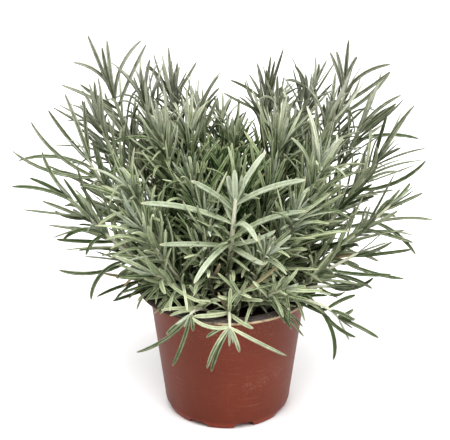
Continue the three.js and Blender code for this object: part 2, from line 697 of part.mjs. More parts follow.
export default buildPlant();
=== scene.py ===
"""A young shrubby everlasting in a terracotta-coloured plastic nursery pot: the looks.

Metres, +Z up, the viewer's side is -Y. The stems and leaves grow by the same rule and from the
same tables as the solids, so each finer leaf lies where its solid is, with more leaves between.
"""

from collections import namedtuple
from math import atan2, cos, degrees, floor, hypot, pi, radians, sin, sqrt, tau

import bpy
import bmesh
import numpy as np
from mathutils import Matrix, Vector


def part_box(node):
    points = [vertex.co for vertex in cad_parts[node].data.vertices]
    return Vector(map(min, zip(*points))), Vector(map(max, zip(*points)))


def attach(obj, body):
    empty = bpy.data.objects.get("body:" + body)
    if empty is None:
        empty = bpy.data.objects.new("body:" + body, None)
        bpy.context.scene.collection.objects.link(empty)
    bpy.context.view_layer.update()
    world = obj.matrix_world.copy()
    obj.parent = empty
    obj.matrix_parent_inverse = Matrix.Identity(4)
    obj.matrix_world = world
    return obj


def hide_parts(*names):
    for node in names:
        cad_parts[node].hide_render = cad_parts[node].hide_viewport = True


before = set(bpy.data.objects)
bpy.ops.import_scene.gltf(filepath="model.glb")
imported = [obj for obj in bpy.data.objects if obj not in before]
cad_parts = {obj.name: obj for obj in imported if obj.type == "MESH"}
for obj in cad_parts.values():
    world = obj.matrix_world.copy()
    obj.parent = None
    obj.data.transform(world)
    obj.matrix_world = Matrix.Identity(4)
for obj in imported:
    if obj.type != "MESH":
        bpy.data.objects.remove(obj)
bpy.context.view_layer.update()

MM = 0.001

# Pot, in millimetres round its own axis
POT_HEIGHT = 80.0
LIP_RADIUS = 52.5
LIP_THICKNESS = 1.1
LIP_TURN_DOWN = 1.6
LIP_EDGE_WIDTH = 0.9
WALL_TOP_RADIUS = 46.4
WALL_SHOULDER_RADIUS = 44.0
WALL_SHOULDER_HEIGHT = 62.0
WALL_FOOT_RADIUS = 37.2
WALL_FOOT_HEIGHT = 7.5
WALL_THICKNESS = 1.0
STANDING_RADIUS = 34.6
FOOT_INNER_RADIUS = 29.5
FLOOR_UNDERSIDE = 4.2
FLOOR_TOP = 5.4
FOOT_COUNT = 8
FIRST_NOTCH_ANGLE = -74.0
NOTCH_WIDTH = 11.5
NOTCH_DEPTHS = (4.2, 3.4)
DRAIN_RADIUS = 1.8
DRAIN_DEPTH = 6.0
DRAIN_CIRCLE_RADIUS = 23.0
SOIL_TOP = 72.0
SOIL_GAP = 0.35

# Stems and leaves, as in the solids
STEM_RADIUS = 1.1
THICK_STEMS = {"front_tall": 1.5}
ROOT_DEPTH = 5.0
ROOT_SPREAD = 30.0
STEM_DIVISIONS = 60
GOLDEN_TURN = 137.508
LEAF_STATIONS = 12
LEAF_SPACING = 2.1
BARE_STEM = 11.0
HALF_WIDTH = 1.25
SET_HALF_WIDTH = 0.95
WIDE_LEAVES = {"front_tall": 1.7, "front_trailing": 1.2, "front_left_trailing": 1.2}
LIP_CLEAR_HEIGHT = 81.7
LIP_CLEAR_RADIUS = 54.0
LIP_CLEAR_INNER_RADIUS = 43.5
SOIL_CLEARANCE = 0.8
# The way that the upper faces of the leaves set one by one turn
FACE = Vector((0, -0.5, 0.87))
# Shares of the rule's leaves with a side twig, and the lowest stem tip above the soil with twigs
TWIG_SHARE = 0.32
INNER_TWIG_SHARE = 0.42
TWIG_SOIL_HEIGHT = 50
TWIG_STATIONS = 4
WOOD_STATIONS = 28
# A stem's thickness at its foot and its tip, against its radius
STEM_FOOT = 1.12
THICK_STEM_FOOT = 1.35
STEM_TIP = 0.66

# Leaves set one by one: their bluntness, their painted shade, and their youth on the tall stem at the front
SET_BLUNTNESS = 0.6
SET_SHADE = 0.75
TALL_STEM_YOUTH = 0.25
# Places along a leaf, for the large ones and the small ones
LEAF_SHARES = (0.0, 0.06, 0.15, 0.27, 0.4, 0.53, 0.66, 0.78, 0.88, 0.95, 0.985, 1.0)
TWIG_LEAF_SHARES = (0.0, 0.16, 0.4, 0.65, 0.86, 0.97, 1.0)
# Some leaves well above the pot bend over towards their tips
BENT_SHARE = 0.24
BENT_FROM_HEIGHT = 112.0
# The tone of a dry leaf; the tone of a live one is at most 1
DRY_TONE = 2.0

Shoot = namedtuple("Shoot", "name compass reach height arch leaf_length root_turn")
# Name, compass angle and reach of the tip, its height above the soil, arch, leaf length, root turn
SHOOTS = [Shoot(*row) for row in (
    ("left_high", 148, 79, 109, -0.35, 36, 0),
    ("left_high_low", 169, 76, 104, -0.3, 32, 0),
    ("left_upper", 183, 79, 87, -0.2, 36, -6),
    ("left_middle", 193, 89, 69, -0.2, 36, -10),
    ("left_lower", 200, 74, 51, 0, 32, 12),
    ("left_trailing", 195, 63, 29, 0.3, 34, 5),
    ("front_left_low", 228, 63, 36, 0.25, 32, 0),
    ("front_left_trailing", 250, 61, 16, 0.45, 34, 0),
    ("front_trailing", 271, 66, 12, 0.62, 26, 0),
    ("front_tall", 276, 42, 81, -0.1, 32, -14),
    ("front_right_low", 301, 63, 31, 0.2, 20, 0),
    ("front_right_inner", 297, 50, 50, 0.1, 22, 0),
    ("front_left_inner", 246, 37, 44, 0.1, 30, 0),
    ("front_right_trailing", 277, 50, 26, 0.3, 22, 4),
    ("right_trailing", 325, 76, 6, 0.85, 28, -14),
    ("right_low", 335, 66, 18, 0.4, 30, -6),
    ("right_lower", 339, 79, 40, 0, 32, 5),
    ("right_middle", 351, 93, 63, -0.1, 32, 0),
    ("right_upper", 5, 86, 81, -0.15, 33, 0),
    ("right_high", 29, 78, 112, -0.42, 34, 0),
    ("right_high_inner", 15, 60, 106, -0.35, 32, 0),
    ("right_high_outer", 21, 83, 94, -0.3, 34, 0),
    ("back_crown_right", 68, 62, 99, -0.3, 30, 0),
    ("right_crown_inner", 50, 49, 99, -0.35, 30, 0),
    ("back_right_crown", 49, 73, 102, -0.35, 30, 0),
    ("back_left_crown", 119, 68, 103, -0.35, 30, 0),
    ("left_crown_outer", 138, 66, 106, -0.35, 32, 0),
    ("back_crown_left", 110, 51, 97, -0.3, 30, 0),
    ("back_dip", 94, 58, 84, -0.2, 28, 0),
    ("back_dip_inner", 84, 40, 80, -0.2, 28, 0),
    ("middle", 300, 10, 74, 0, 32, 0),
    ("left_crown_middle", 165, 39, 98, -0.3, 32, 0),
    ("left_crown_inner", 141, 30, 96, -0.3, 30, 0),
    ("right_inner", 340, 56, 90, -0.3, 33, 0),
    ("right_crown_middle", 20, 32, 92, -0.3, 30, 0),
    ("front_left", 223, 64, 62, -0.1, 36, 0),
    ("left_inner", 207, 60, 79, -0.2, 34, 0),
    ("front_right", 318, 50, 66, -0.1, 37, 0),
    ("front_inner", 250, 36, 64, -0.1, 34, -14),
    ("back_right", 60, 80, 60, -0.1, 32, 0),
    ("back", 92, 74, 52, -0.1, 32, 0),
    ("back_left", 125, 80, 62, -0.1, 32, 0),
    ("back_right_low", 72, 67, 20, 0.4, 32, 0),
    ("back_left_low", 108, 67, 22, 0.38, 32, 0),
    ("left_back_low", 154, 74, 36, 0.2, 30, 0),
    ("right_back_low", 30, 80, 36, 0.2, 30, 0),
    ("inner_left", 211, 23, 74, -0.1, 34, 0),
    ("inner_right", 330, 28, 72, -0.1, 34, 0),
    ("inner_back_left", 144, 44, 90, -0.2, 30, 8),
    ("inner_back_right", 36, 46, 90, -0.2, 30, 0),
    ("inner_left_low", 196, 44, 58, -0.1, 34, 0),
    ("inner_right_low", 347, 45, 56, -0.1, 34, 6),
    ("inner_back", 124, 14, 78, -0.1, 28, 0),
)]

# share of the stem, compass angle, rise at the foot, rise at the tip, length
SET_LEAVES = {
    "front_tall": [
        (0.77, 195, 35, 5, 56), (0.58, 210, 20, 10, 47), (0.62, 230, 0, -45, 36),
        (0.88, 180, 50, 25, 30), (0.95, 20, 70, 45, 33), (0.93, 350, 40, 10, 43),
        (0.96, 265, 60, 90, 22), (0.73, 300, 60, -45, 30), (0.65, 345, 45, 10, 48),
        (0.58, 305, 0, 5, 31), (0.6, 320, 20, 40, 36), (0.99, 100, 75, 88, 12), (0.98, 200, 65, 80, 15),
        (0.98, 320, 60, 75, 14),
    ],
    "left_high": [
        (0.97, 180, 70, 70, 41), (0.97, 115, 70, 80, 34), (0.95, 230, 70, 80, 38),
        (0.95, 0, 95, 40, 43), (0.92, 15, 70, 60, 42), (0.98, 180, 80, 5, 33), (0.88, 185, 45, 20, 40),
        (0.92, 165, 25, 35, 26),
    ],
    "left_high_low": [(0.97, 110, 70, 80, 24), (0.95, 225, 45, 70, 24), (0.86, 355, 35, -25, 32)],
    "left_upper": [
        (0.95, 180, 75, 70, 46), (0.97, 110, 60, 95, 36), (0.98, 180, 50, 60, 38),
        (0.87, 190, 25, 65, 54), (0.88, 195, 3, 45, 54), (0.93, 170, 30, -25, 46),
        (0.82, 350, 100, -100, 33),
    ],
    "left_middle": [
        (0.97, 190, 40, 0, 38), (0.98, 165, 40, 75, 34), (0.92, 170, 45, 15, 34),
        (0.85, 180, -10, 35, 20),
    ],
    "left_lower": [
        (0.95, 195, 50, -45, 29), (0.88, 180, 0, 5, 33), (0.97, 215, 10, -75, 18),
        (0.7, 320, -25, -35, 46),
    ],
    "front_left_low": [(0.75, 215, -20, -45, 17), (0.78, 325, -30, 5, 30), (0.73, 205, 5, -10, 28)],
    "left_trailing": [
        (0.93, 185, -30, 20, 40), (0.97, 205, 0, -90, 32), (0.5, 195, 5, -25, 38),
        (0.42, 210, -5, -5, 34),
    ],
    "front_left_trailing": [
        (0.97, 215, -20, -30, 18), (0.96, 195, -55, -10, 38), (0.98, 225, -75, -50, 31),
        (0.95, 280, -40, -70, 10), (0.8, 195, 15, -25, 15),
    ],
    "front_trailing": [
        (0.97, 345, -25, -20, 35), (0.98, 320, -50, -75, 15), (0.98, 220, -45, -75, 27),
        (0.96, 225, -25, -70, 27), (0.97, 188, -10, 50, 23), (0.93, 205, -5, -30, 15),
        (0.55, 290, 80, 85, 17), (0.5, 195, 15, 5, 13),
    ],
    "front_left_inner": [(0.62, 255, -60, -85, 18)],
    "front_right_inner": [
        (0.42, 313, -10, -32, 45), (0.36, 320, 0, -32, 40), (0.5, 308, -15, -40, 38),
        (0.35, 350, 40, 50, 28),
    ],
    "front_right_low": [(0.96, 300, -60, -88, 21)],
    "front_right_trailing": [
        (0.95, 5, 15, 12, 27), (0.9, 190, 55, 45, 18), (0.98, 230, -10, -50, 9),
        (0.98, 335, -5, -20, 8), (0.98, 150, 60, 50, 8),
    ],
    "right_high": [
        (0.98, 0, 90, 85, 33), (0.98, 230, 80, 65, 30), (0.97, 145, 80, 55, 27),
        (0.98, 325, 90, 55, 26), (0.98, 0, 65, 5, 33), (0.93, 345, 35, 45, 36), (0.88, 15, 20, 55, 40),
    ],
    "right_high_outer": [(0.97, 0, 60, 25, 32), (0.94, 340, 45, 45, 32), (0.9, 350, 30, -15, 39)],
    "right_upper": [(0.97, 0, 70, 50, 42), (0.98, 320, 50, 30, 22), (0.8, 345, 5, 55, 47)],
    "right_middle": [
        (0.95, 345, 35, 30, 25), (0.97, 35, 25, 45, 20), (0.85, 335, -5, -55, 32),
        (0.78, 335, 0, -10, 30),
    ],
    "right_lower": [
        (0.93, 0, 5, 10, 34), (0.83, 345, -20, 0, 36), (0.68, 335, 0, 15, 38), (0.92, 340, 20, 40, 27),
    ],
    "right_low": [(0.87, 335, 20, 10, 28), (0.97, 15, -30, 40, 27), (0.82, 320, -30, 50, 20)],
    "right_trailing": [
        (0.98, 10, 10, 40, 10), (0.98, 345, -15, -30, 26), (0.74, 325, -55, 0, 30),
        (0.7, 320, -25, -105, 38), (0.98, 350, 0, -5, 10), (0.5, 330, -30, -200, 22),
        (0.62, 350, -60, 30, 15), (0.32, 300, 15, -60, 34), (0.88, 320, 10, -15, 17),
        (0.85, 20, 30, 5, 18),
    ],
    "left_crown_outer": [(0.97, 255, 60, 90, 24), (0.97, 60, 90, 60, 25)],
    "back_left_crown": [
        (0.97, 200, 65, 45, 27), (0.97, 140, 70, 65, 20), (0.97, 280, 70, 60, 20),
        (0.97, 65, 65, 75, 20), (0.95, 0, 60, 60, 28),
    ],
    "back_crown_left": [(0.97, 0, 75, 50, 26), (0.95, 325, 65, 45, 26)],
    "back_crown_right": [
        (0.97, 180, 50, 20, 26), (0.98, 225, 80, 65, 28), (0.97, 90, 70, 75, 20), (0.98, 0, 80, 80, 26),
        (0.92, 200, 30, 35, 31), (0.92, 220, 40, 75, 30),
    ],
    "back_right_crown": [(0.97, 180, 90, 50, 24), (0.97, 210, 90, 0, 25), (0.98, 0, 60, 90, 23)],
}
# The stretch of a stem where only the leaves set one by one grow
SET_STRETCH = {
    "front_tall": (0.56, 1.01), "front_trailing": (0.6, 0.97), "front_left_trailing": (0.6, 0.97),
    "front_right_trailing": (0.7, 0.98), "left_high": (0.86, 0.985), "left_upper": (0.84, 0.985),
    "left_middle": (0.86, 0.985), "left_trailing": (0.5, 0.97), "right_high": (0.86, 0.985),
    "right_trailing": (0.5, 0.98), "right_low": (0.6, 0.97), "right_lower": (0.66, 0.97),
    "left_lower": (0.6, 0.97), "right_middle": (0.86, 0.985),
}

# Ranges of the share of the stem, turn from a compass angle, rise at the foot, bend from there to
# the tip, length and half width
LOW_LEAF_RANGES = ((0.1, 0.42), (-75, 75), (15, 55), (-25, -90), (20, 40), (0.75, 1.05))
UPRIGHT_LEAF_RANGES = ((0.42, 0.86), (0, 360), (45, 72), (-15, 30), (28, 41), (0.9, 1.25))
LOW_LEAF_COUNT = 7
UPRIGHT_LEAF_COUNT = 12
# The low leaves grow on stems with at most this sine of the compass angle, which lean to the front
LOW_LEAF_SIDE = -0.2
# The upright leaves grow on the stems round the dip in the middle of the crown
DIP_STEMS = (
    "back_dip", "back_dip_inner", "middle", "inner_back", "inner_back_right", "right_crown_middle",
    "right_crown_inner", "left_crown_inner", "back_crown_left", "left_crown_middle", "right_inner",
    "inner_left", "inner_right",
)
# Small leaves that stand close to the tall stem at the front, in rows like those of SET_LEAVES
SHEATH_HALF_WIDTH = 0.9
SHEATH_LEAVES = {
    "front_tall": [
        (0.3, 350, 40, 10, 14), (0.36, 190, 44, 8, 15), (0.42, 285, 50, 20, 12), (0.48, 205, 52, 15, 14),
        (0.54, 335, 50, 12, 15), (0.6, 250, 60, 30, 12), (0.66, 190, 56, 30, 14), (0.72, 350, 58, 34, 15),
        (0.78, 185, 62, 75, 18), (0.84, 355, 64, 80, 17), (0.9, 200, 70, 84, 20), (0.94, 340, 72, 84, 18),
    ],
}
# Leaves that have turned yellow
FADED_HALF_WIDTH = 1.3
FADED_TONE = 1.8
FADED_LEAVES = {"front_right_trailing": [(0.72, 345, 40, 50, 35)]}

# The pot's axis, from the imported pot
pot_low, pot_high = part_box("pot")
AXIS = ((pot_low.x + pot_high.x) / 2, (pot_low.y + pot_high.y) / 2)

DRAW_FACTOR = 16807
DRAW_MODULUS = 2147483647


def mix(a, b, t):
    return a + (b - a) * t


def polar(radius, turn, z=0.0):
    return (radius * cos(turn), radius * sin(turn), z)


def placed(x, y, z):
    """A place in metres, from millimetres round the pot's axis."""
    return (x * MM + AXIS[0], y * MM + AXIS[1], z * MM)


def smooth(low, high, x):
    t = min(1.0, max(0.0, (x - low) / (high - low)))
    return t * t * (3 - 2 * t)


def draws(seed, skipped=1):
    """A repeatable row of draws between two values, the same as in the solids.

    The first draws of seeds that lie close together are much alike, so they are skipped.
    """
    state = [seed % DRAW_MODULUS]

    def draw(low, high):
        state[0] = (state[0] * DRAW_FACTOR) % DRAW_MODULUS
        return low + (high - low) * state[0] / DRAW_MODULUS

    for _ in range(skipped):
        draw(0, 1)
    return draw


class Stem:
    """A stem's line, measured along its length."""

    def __init__(self, shoot):
        tip_angle = radians(shoot.compass)
        root_angle = radians(shoot.compass + shoot.root_turn)
        lean = atan2(shoot.reach, shoot.height)
        root_radius = ROOT_SPREAD * (lean / (pi / 2)) ** 0.8
        root = Vector(polar(root_radius, root_angle, SOIL_TOP - ROOT_DEPTH))
        tip = Vector(polar(shoot.reach, tip_angle, SOIL_TOP + shoot.height))
        across = hypot(tip.x - root.x, tip.y - root.y)
        out = ((tip.x - root.x) / across, (tip.y - root.y) / across)
        chord = (tip - root).length
        chord_lean = atan2(across, tip.z - root.z)

        def towards(tilt):
            return Vector((out[0] * sin(tilt), out[1] * sin(tilt), cos(tilt)))

        self.points = (
            root,
            root + towards(chord_lean * (1 - shoot.arch)) * (chord / 3),
            tip - towards(chord_lean * (1 + shoot.arch)) * (chord / 3),
            tip,
        )
        self.lengths = [0.0]
        last = self.at(0.0)
        for i in range(1, STEM_DIVISIONS + 1):
            point = self.at(i / STEM_DIVISIONS)
            self.lengths.append(self.lengths[-1] + (point - last).length)
            last = point
        self.total = self.lengths[-1]

    def at(self, t):
        a, b, c, d = self.points
        u = 1 - t
        return a * (u * u * u) + b * (3 * u * u * t) + c * (3 * u * t * t) + d * (t * t * t)

    def share_to_t(self, share):
        target = share * self.total
        i = 0
        while i < STEM_DIVISIONS - 1 and self.lengths[i + 1] < target:
            i += 1
        step = self.lengths[i + 1] - self.lengths[i]
        return (i + (target - self.lengths[i]) / step) / STEM_DIVISIONS

    def place(self, share):
        return self.at(self.share_to_t(share))

    def direction(self, share):
        t = self.share_to_t(share)
        low, high = max(0.0, t - 0.0001), min(1.0, t + 0.0001)
        return (self.at(high) - self.at(low)).normalized()


def radial_frame(axis):
    reference = Vector((0, 0, 1)) if abs(axis.z) < 0.9 else Vector((1, 0, 0))
    e1 = axis.cross(reference).normalized()
    return e1, axis.cross(e1)


def grow_line(base, axis, roll, length, spread, recurve, curl, droop):
    """A leaf's line from its base, spreading from the axis, and the direction across the leaf."""
    e1, e2 = radial_frame(axis)
    line = [base.copy()]
    point = base.copy()
    for j in range(LEAF_STATIONS):
        t = (j + 0.5) / LEAF_STATIONS
        angle = spread + recurve * t ** 1.3
        turn = roll + curl * t
        step = axis * cos(angle) + (e1 * cos(turn) + e2 * sin(turn)) * sin(angle)
        step.normalize()
        step.z -= droop * t * t
        point = point + step.normalized() * (length / LEAF_STATIONS)
        line.append(point)
    side = axis.cross(e1 * cos(roll) + e2 * sin(roll)).normalized()
    return line, side


def clear_of_pot(line):
    for point in line[2:]:
        radius = hypot(point.x, point.y)
        if LIP_CLEAR_INNER_RADIUS < radius < LIP_CLEAR_RADIUS:
            if point.z < LIP_CLEAR_HEIGHT:
                return False
        elif radius <= LIP_CLEAR_RADIUS and point.z < SOIL_TOP + SOIL_CLEARANCE:
            return False
    return True


def rule_leaves(shoot, order, stem):
    """Leaves round a stem on the golden angle, longer and wider spread down the stem."""
    draw = draws(1009 * (order + 1) + 17, 2)
    start = min(0.5, BARE_STEM / stem.total + 0.04)
    count = int(floor(stem.total * (1 - start) / LEAF_SPACING + 0.5))
    first_roll = draw(0, 2 * pi)
    outside = Vector(polar(1, radians(shoot.compass)))
    low, high = SET_STRETCH.get(shoot.name, (1, 1))
    leaves = []
    for i in range(count + 1):
        f = i / count
        where = start + (1 - start) * (1 - (1 - f) ** 1.25)
        base = stem.place(where)
        axis = stem.direction(where)
        remain = stem.total * (1 - where)
        young = 1 - smooth(0, 5, remain)
        tipward = 1 - smooth(2, 22, remain)
        old = smooth(0.45, 1, 1 - f)
        roll = first_roll + radians(GOLDEN_TURN) * i + draw(-0.25, 0.25)
        e1, e2 = radial_frame(axis)
        outward = (e1 * cos(roll) + e2 * sin(roll)).dot(outside)
        length = shoot.leaf_length * (1 - 0.5 * young - 0.3 * old) * draw(0.7, 1.2)
        spread = mix(mix(mix(27, 40, old), 22, tipward), 7, young) + 5 * outward + draw(-10, 10)
        spread = radians(max(4, spread))
        recurve = radians(mix(mix(20, 28, old), 8, young) * draw(-0.9, 2.2))
        curl = radians(draw(-45, 45))
        droop = draw(0, 0.35) * (0.4 + old)
        half_width = HALF_WIDTH * (1 - 0.3 * young) * draw(0.75, 1.1)
        half_width *= mix(1, 0.8, smooth(-40, 50, base.y)) * mix(1, 0.8, smooth(35, 65, abs(base.x)))
        line, side = grow_line(base, axis, roll, length, spread, recurve, curl, droop)
        if not low < where < high:
            leaves.append(dict(
                line=line, side=side, width=half_width, young=young, old=old,
                axis=axis, roll=roll, base=base, length=length,
            ))
    return leaves


def set_leaf(shoot, stem, row, width):
    """One leaf from its row of numbers, bending in an upright plane from its foot to its tip."""
    where, compass, foot_rise, tip_rise, length = row

    def towards(rise):
        return Vector(polar(cos(rise), radians(compass), sin(rise)))

    point = stem.place(where)
    line = [point.copy()]
    for j in range(LEAF_STATIONS):
        rise = radians(mix(foot_rise, tip_rise, (j + 0.5) / LEAF_STATIONS))
        point = point + towards(rise) * (length / LEAF_STATIONS)
        line.append(point)
    middle = towards(radians((foot_rise + tip_rise) / 2))
    return dict(
        line=line, side=FACE.cross(middle).normalized(), width=width, length=length, old=0.0,
        young=TALL_STEM_YOUTH if shoot.name == "front_tall" else 0.0,
        blunt=SET_BLUNTNESS, shade=SET_SHADE if width == SET_HALF_WIDTH else 0.0,
    )


def set_leaves(shoot, stem, table, width):
    """The leaves that a table gives for a stem."""
    return [set_leaf(shoot, stem, row, width) for row in table.get(shoot.name, [])]


def drawn_leaves(shoot, stem, seed, count, ranges, compass):
    """Leaves whose numbers are drawn from ranges, turned round from a compass angle."""
    draw = draws(seed)
    found = []
    for _ in range(count):
        where, turn, foot_rise, bend, length, width = [draw(low, high) for low, high in ranges]
        row = (where, compass + turn, foot_rise, foot_rise + bend, length)
        found.append(set_leaf(shoot, stem, row, width))
    return found


def low_leaves(shoot, stem, order):
    """Small leaves that arch over the soil from the feet of the stems at the front."""
    if sin(radians(shoot.compass)) > LOW_LEAF_SIDE:
        return []
    seed = 9001 * (order + 2) + 3
    return drawn_leaves(shoot, stem, seed, LOW_LEAF_COUNT, LOW_LEAF_RANGES, shoot.compass)


def upright_leaves(shoot, stem, order):
    """Long, nearly upright leaves that close the bush below the dip of its crown."""
    if shoot.name not in DIP_STEMS:
        return []
    seed = 5003 * (order + 4) + 7
    return drawn_leaves(shoot, stem, seed, UPRIGHT_LEAF_COUNT, UPRIGHT_LEAF_RANGES, 0)


def faded_leaves(shoot, stem):
    """The leaves that have turned yellow."""
    found = set_leaves(shoot, stem, FADED_LEAVES, FADED_HALF_WIDTH)
    for leaf in found:
        leaf["tone"] = FADED_TONE
    return found


def side_twigs(shoot, leaves, order):
    """Short twigs with small leaves, in the joints between the lower leaves and the stem."""
    draw = draws(7001 * (order + 3) + 5)
    lines, found = [], []
    if shoot.height < TWIG_SOIL_HEIGHT:
        return lines, found
    inner = shoot.name.startswith("inner") or sin(radians(shoot.compass)) > 0.5
    limit = INNER_TWIG_SHARE if inner else TWIG_SHARE
    for leaf in leaves:
        foot = leaf["base"]
        thinned = mix(1, 0.35, smooth(125, 165, foot.z)) * mix(1, 0.1, smooth(52, 70, abs(foot.x)))
        if leaf["young"] > 0.1 or draw(0, 1) > limit * thinned:
            continue
        e1, e2 = radial_frame(leaf["axis"])
        roll = leaf["roll"] + draw(-0.4, 0.4)
        lean = radians(draw(12, 30))
        outward = e1 * cos(roll) + e2 * sin(roll)
        axis = (leaf["axis"] * cos(lean) + outward * sin(lean)).normalized()
        length = draw(4, 15)
        points = [foot + axis * (length * i / TWIG_STATIONS) for i in range(TWIG_STATIONS + 1)]
        lines.append((points, outward))
        count = 3 + int(length / 3.5)
        first = draw(0, 2 * pi)
        for i in range(count):
            share = (i + 0.6) / count
            line, side = grow_line(
                foot + axis * (length * share), axis, first + radians(GOLDEN_TURN) * i,
                draw(14, 28) * (1 - 0.3 * share), radians(mix(34, 10, share) + draw(-8, 8)),
                radians(draw(-20, 45)), radians(draw(-40, 40)), draw(0, 0.15),
            )
            found.append(dict(
                line=line, side=side, width=HALF_WIDTH * draw(0.65, 0.9),
                young=0.35 * share + 0.1, old=leaf["old"], length=length,
            ))
    return lines, found


# Nodes and meshes

GEOMETRY = ("Geometry", "NodeSocketGeometry", None)


def new_group(name, kind, inputs, outputs):
    """A node group; each of its sockets is (label, socket type, value or None)."""
    group = bpy.data.node_groups.new(name, kind)
    for in_out, rows in (("INPUT", inputs), ("OUTPUT", outputs)):
        for label, socket_type, value in rows:
            socket = group.interface.new_socket(label, in_out=in_out, socket_type=socket_type)
            if value is not None:
                socket.default_value = value
    return group, group.nodes.new("NodeGroupInput"), group.nodes.new("NodeGroupOutput")


def feed(tree, socket, value):
    """Sets a socket's value, or links it to an output; a node stands for its first output."""
    if isinstance(value, bpy.types.Node):
        value = value.outputs[0]
    if isinstance(value, bpy.types.NodeSocket):
        tree.links.new(value, socket)
    else:
        socket.default_value = value


def add_node(tree, kind, inputs, **settings):
    """A node with its settings and with its inputs fed."""
    node = tree.nodes.new(kind)
    for label, value in settings.items():
        setattr(node, label, value)
    for label, value in inputs.items():
        feed(tree, node.inputs[label], value)
    return node


def named(tree, name, kind):
    return add_node(tree, "GeometryNodeInputNamedAttribute", {"Name": name}, data_type=kind)


def end_tree(tree, entry, leave, geometry):
    """Makes the instances real and gives everything the group's material."""
    real = add_node(tree, "GeometryNodeRealizeInstances", {"Geometry": geometry})
    material = entry.outputs["Material"]
    paint = add_node(tree, "GeometryNodeSetMaterial", {"Geometry": real, "Material": material})
    feed(tree, leave.inputs["Geometry"], paint)


def sweep_tree():
    """Sweeps a closed profile along every line of the mesh, scaled and turned by its attributes."""
    tree, entry, leave = new_group("sweep_along_lines", "GeometryNodeTree", [
        GEOMETRY,
        ("Profile", "NodeSocketObject", None),
        ("Material", "NodeSocketMaterial", None),
    ], [GEOMETRY])
    curve = add_node(tree, "GeometryNodeMeshToCurve", {"Mesh": entry.outputs["Geometry"]})
    side = named(tree, "side", "FLOAT_VECTOR")
    turned = add_node(tree, "GeometryNodeSetCurveNormal", {"Curve": curve, "Normal": side}, mode="FREE")
    profile = add_node(tree, "GeometryNodeObjectInfo", {"Object": entry.outputs["Profile"]})
    outline = add_node(tree, "GeometryNodeMeshToCurve", {"Mesh": profile.outputs["Geometry"]})
    sweep = add_node(tree, "GeometryNodeCurveToMesh", {
        "Curve": turned, "Profile Curve": outline, "Scale": named(tree, "size", "FLOAT"), "Fill Caps": True,
    })
    end_tree(tree, entry, leave, add_node(tree, "GeometryNodeSetShadeSmooth", {"Geometry": sweep}))
    return tree


def add_modifier(obj, tree, values):
    modifier = obj.modifiers.new(tree.name, "NODES")
    modifier.node_group = tree
    for item in tree.interface.items_tree:
        if item.in_out == "INPUT" and item.name in values:
            modifier[item.identifier] = values[item.name]


def bake(obj):
    """Turns the object with its modifiers into a plain mesh."""
    depsgraph = bpy.context.evaluated_depsgraph_get()
    mesh = bpy.data.meshes.new_from_object(obj.evaluated_get(depsgraph))
    obj.modifiers.clear()
    old = obj.data
    obj.data = mesh
    bpy.data.meshes.remove(old)
    return obj


def new_object(name, data):
    obj = bpy.data.objects.new(name, data)
    bpy.context.scene.collection.objects.link(obj)
    return obj


def mesh_object(name, positions, edges, faces, materials=()):
    mesh = bpy.data.meshes.new(name)
    mesh.from_pydata(positions, edges, faces)
    for material in materials:
        mesh.materials.append(material)
    return new_object(name, mesh)


def add_values(obj, label, values):
    """Keeps a number for each point of the object's mesh."""
    obj.data.attributes.new(label, "FLOAT", "POINT").data.foreach_set("value", values)


def ring_faces(ring_count, sides):
    """Four-cornered faces between rings that each have the same number of points."""
    faces = []
    for k in range(ring_count - 1):
        for i in range(sides):
            j = (i + 1) % sides
            faces.append((k * sides + i, k * sides + j, (k + 1) * sides + j, (k + 1) * sides + i))
    return faces


def profile_object(name, points, unders):
    """A closed outline, with how far across and how far under each point is."""
    count = len(points)
    edges = [(i, (i + 1) % count) for i in range(count)]
    obj = mesh_object(name, [(x, y, 0) for x, y in points], edges, [])
    add_values(obj, "across", [x for x, _ in points])
    add_values(obj, "under", unders)
    obj.hide_render = True
    return obj


def lines_object(name, lines):
    """Each line is (points in mm, sides, sizes in mm, alongs, tone, young)."""
    positions, edges, sides = [], [], []
    values = {"size": [], "along": [], "tone": [], "young": []}
    for points, line_sides, line_sizes, alongs, tone, young in lines:
        first = len(positions)
        positions.extend(placed(*point) for point in points)
        edges.extend((first + i, first + i + 1) for i in range(len(points) - 1))
        for side in line_sides:
            sides.extend(side)
        values["size"].extend(size * MM for size in line_sizes)
        values["along"].extend(alongs)
        values["tone"].extend([tone] * len(points))
        values["young"].extend([young] * len(points))
    obj = mesh_object(name, positions, edges, [])
    obj.data.attributes.new("side", "FLOAT_VECTOR", "POINT").data.foreach_set("vector", sides)
    for label, row in values.items():
        add_values(obj, label, row)
    return obj


# Leaf and stem lines

def half_width_at(t, full, blunt):
    """A strap: narrow at its foot, then even, with a point that is blunter on a wide leaf."""
    if t >= 1:
        return 0.12 * full
    shoulder = mix(0.5, 0.66, max(blunt, smooth(1.1, 1.6, full)))
    taper = max(0.0, (t - shoulder) / (1.005 - shoulder)) ** 2.5
    return full * (0.55 + 0.45 * smooth(0, 0.22, t)) * sqrt(max(0.0, 1 - taper))


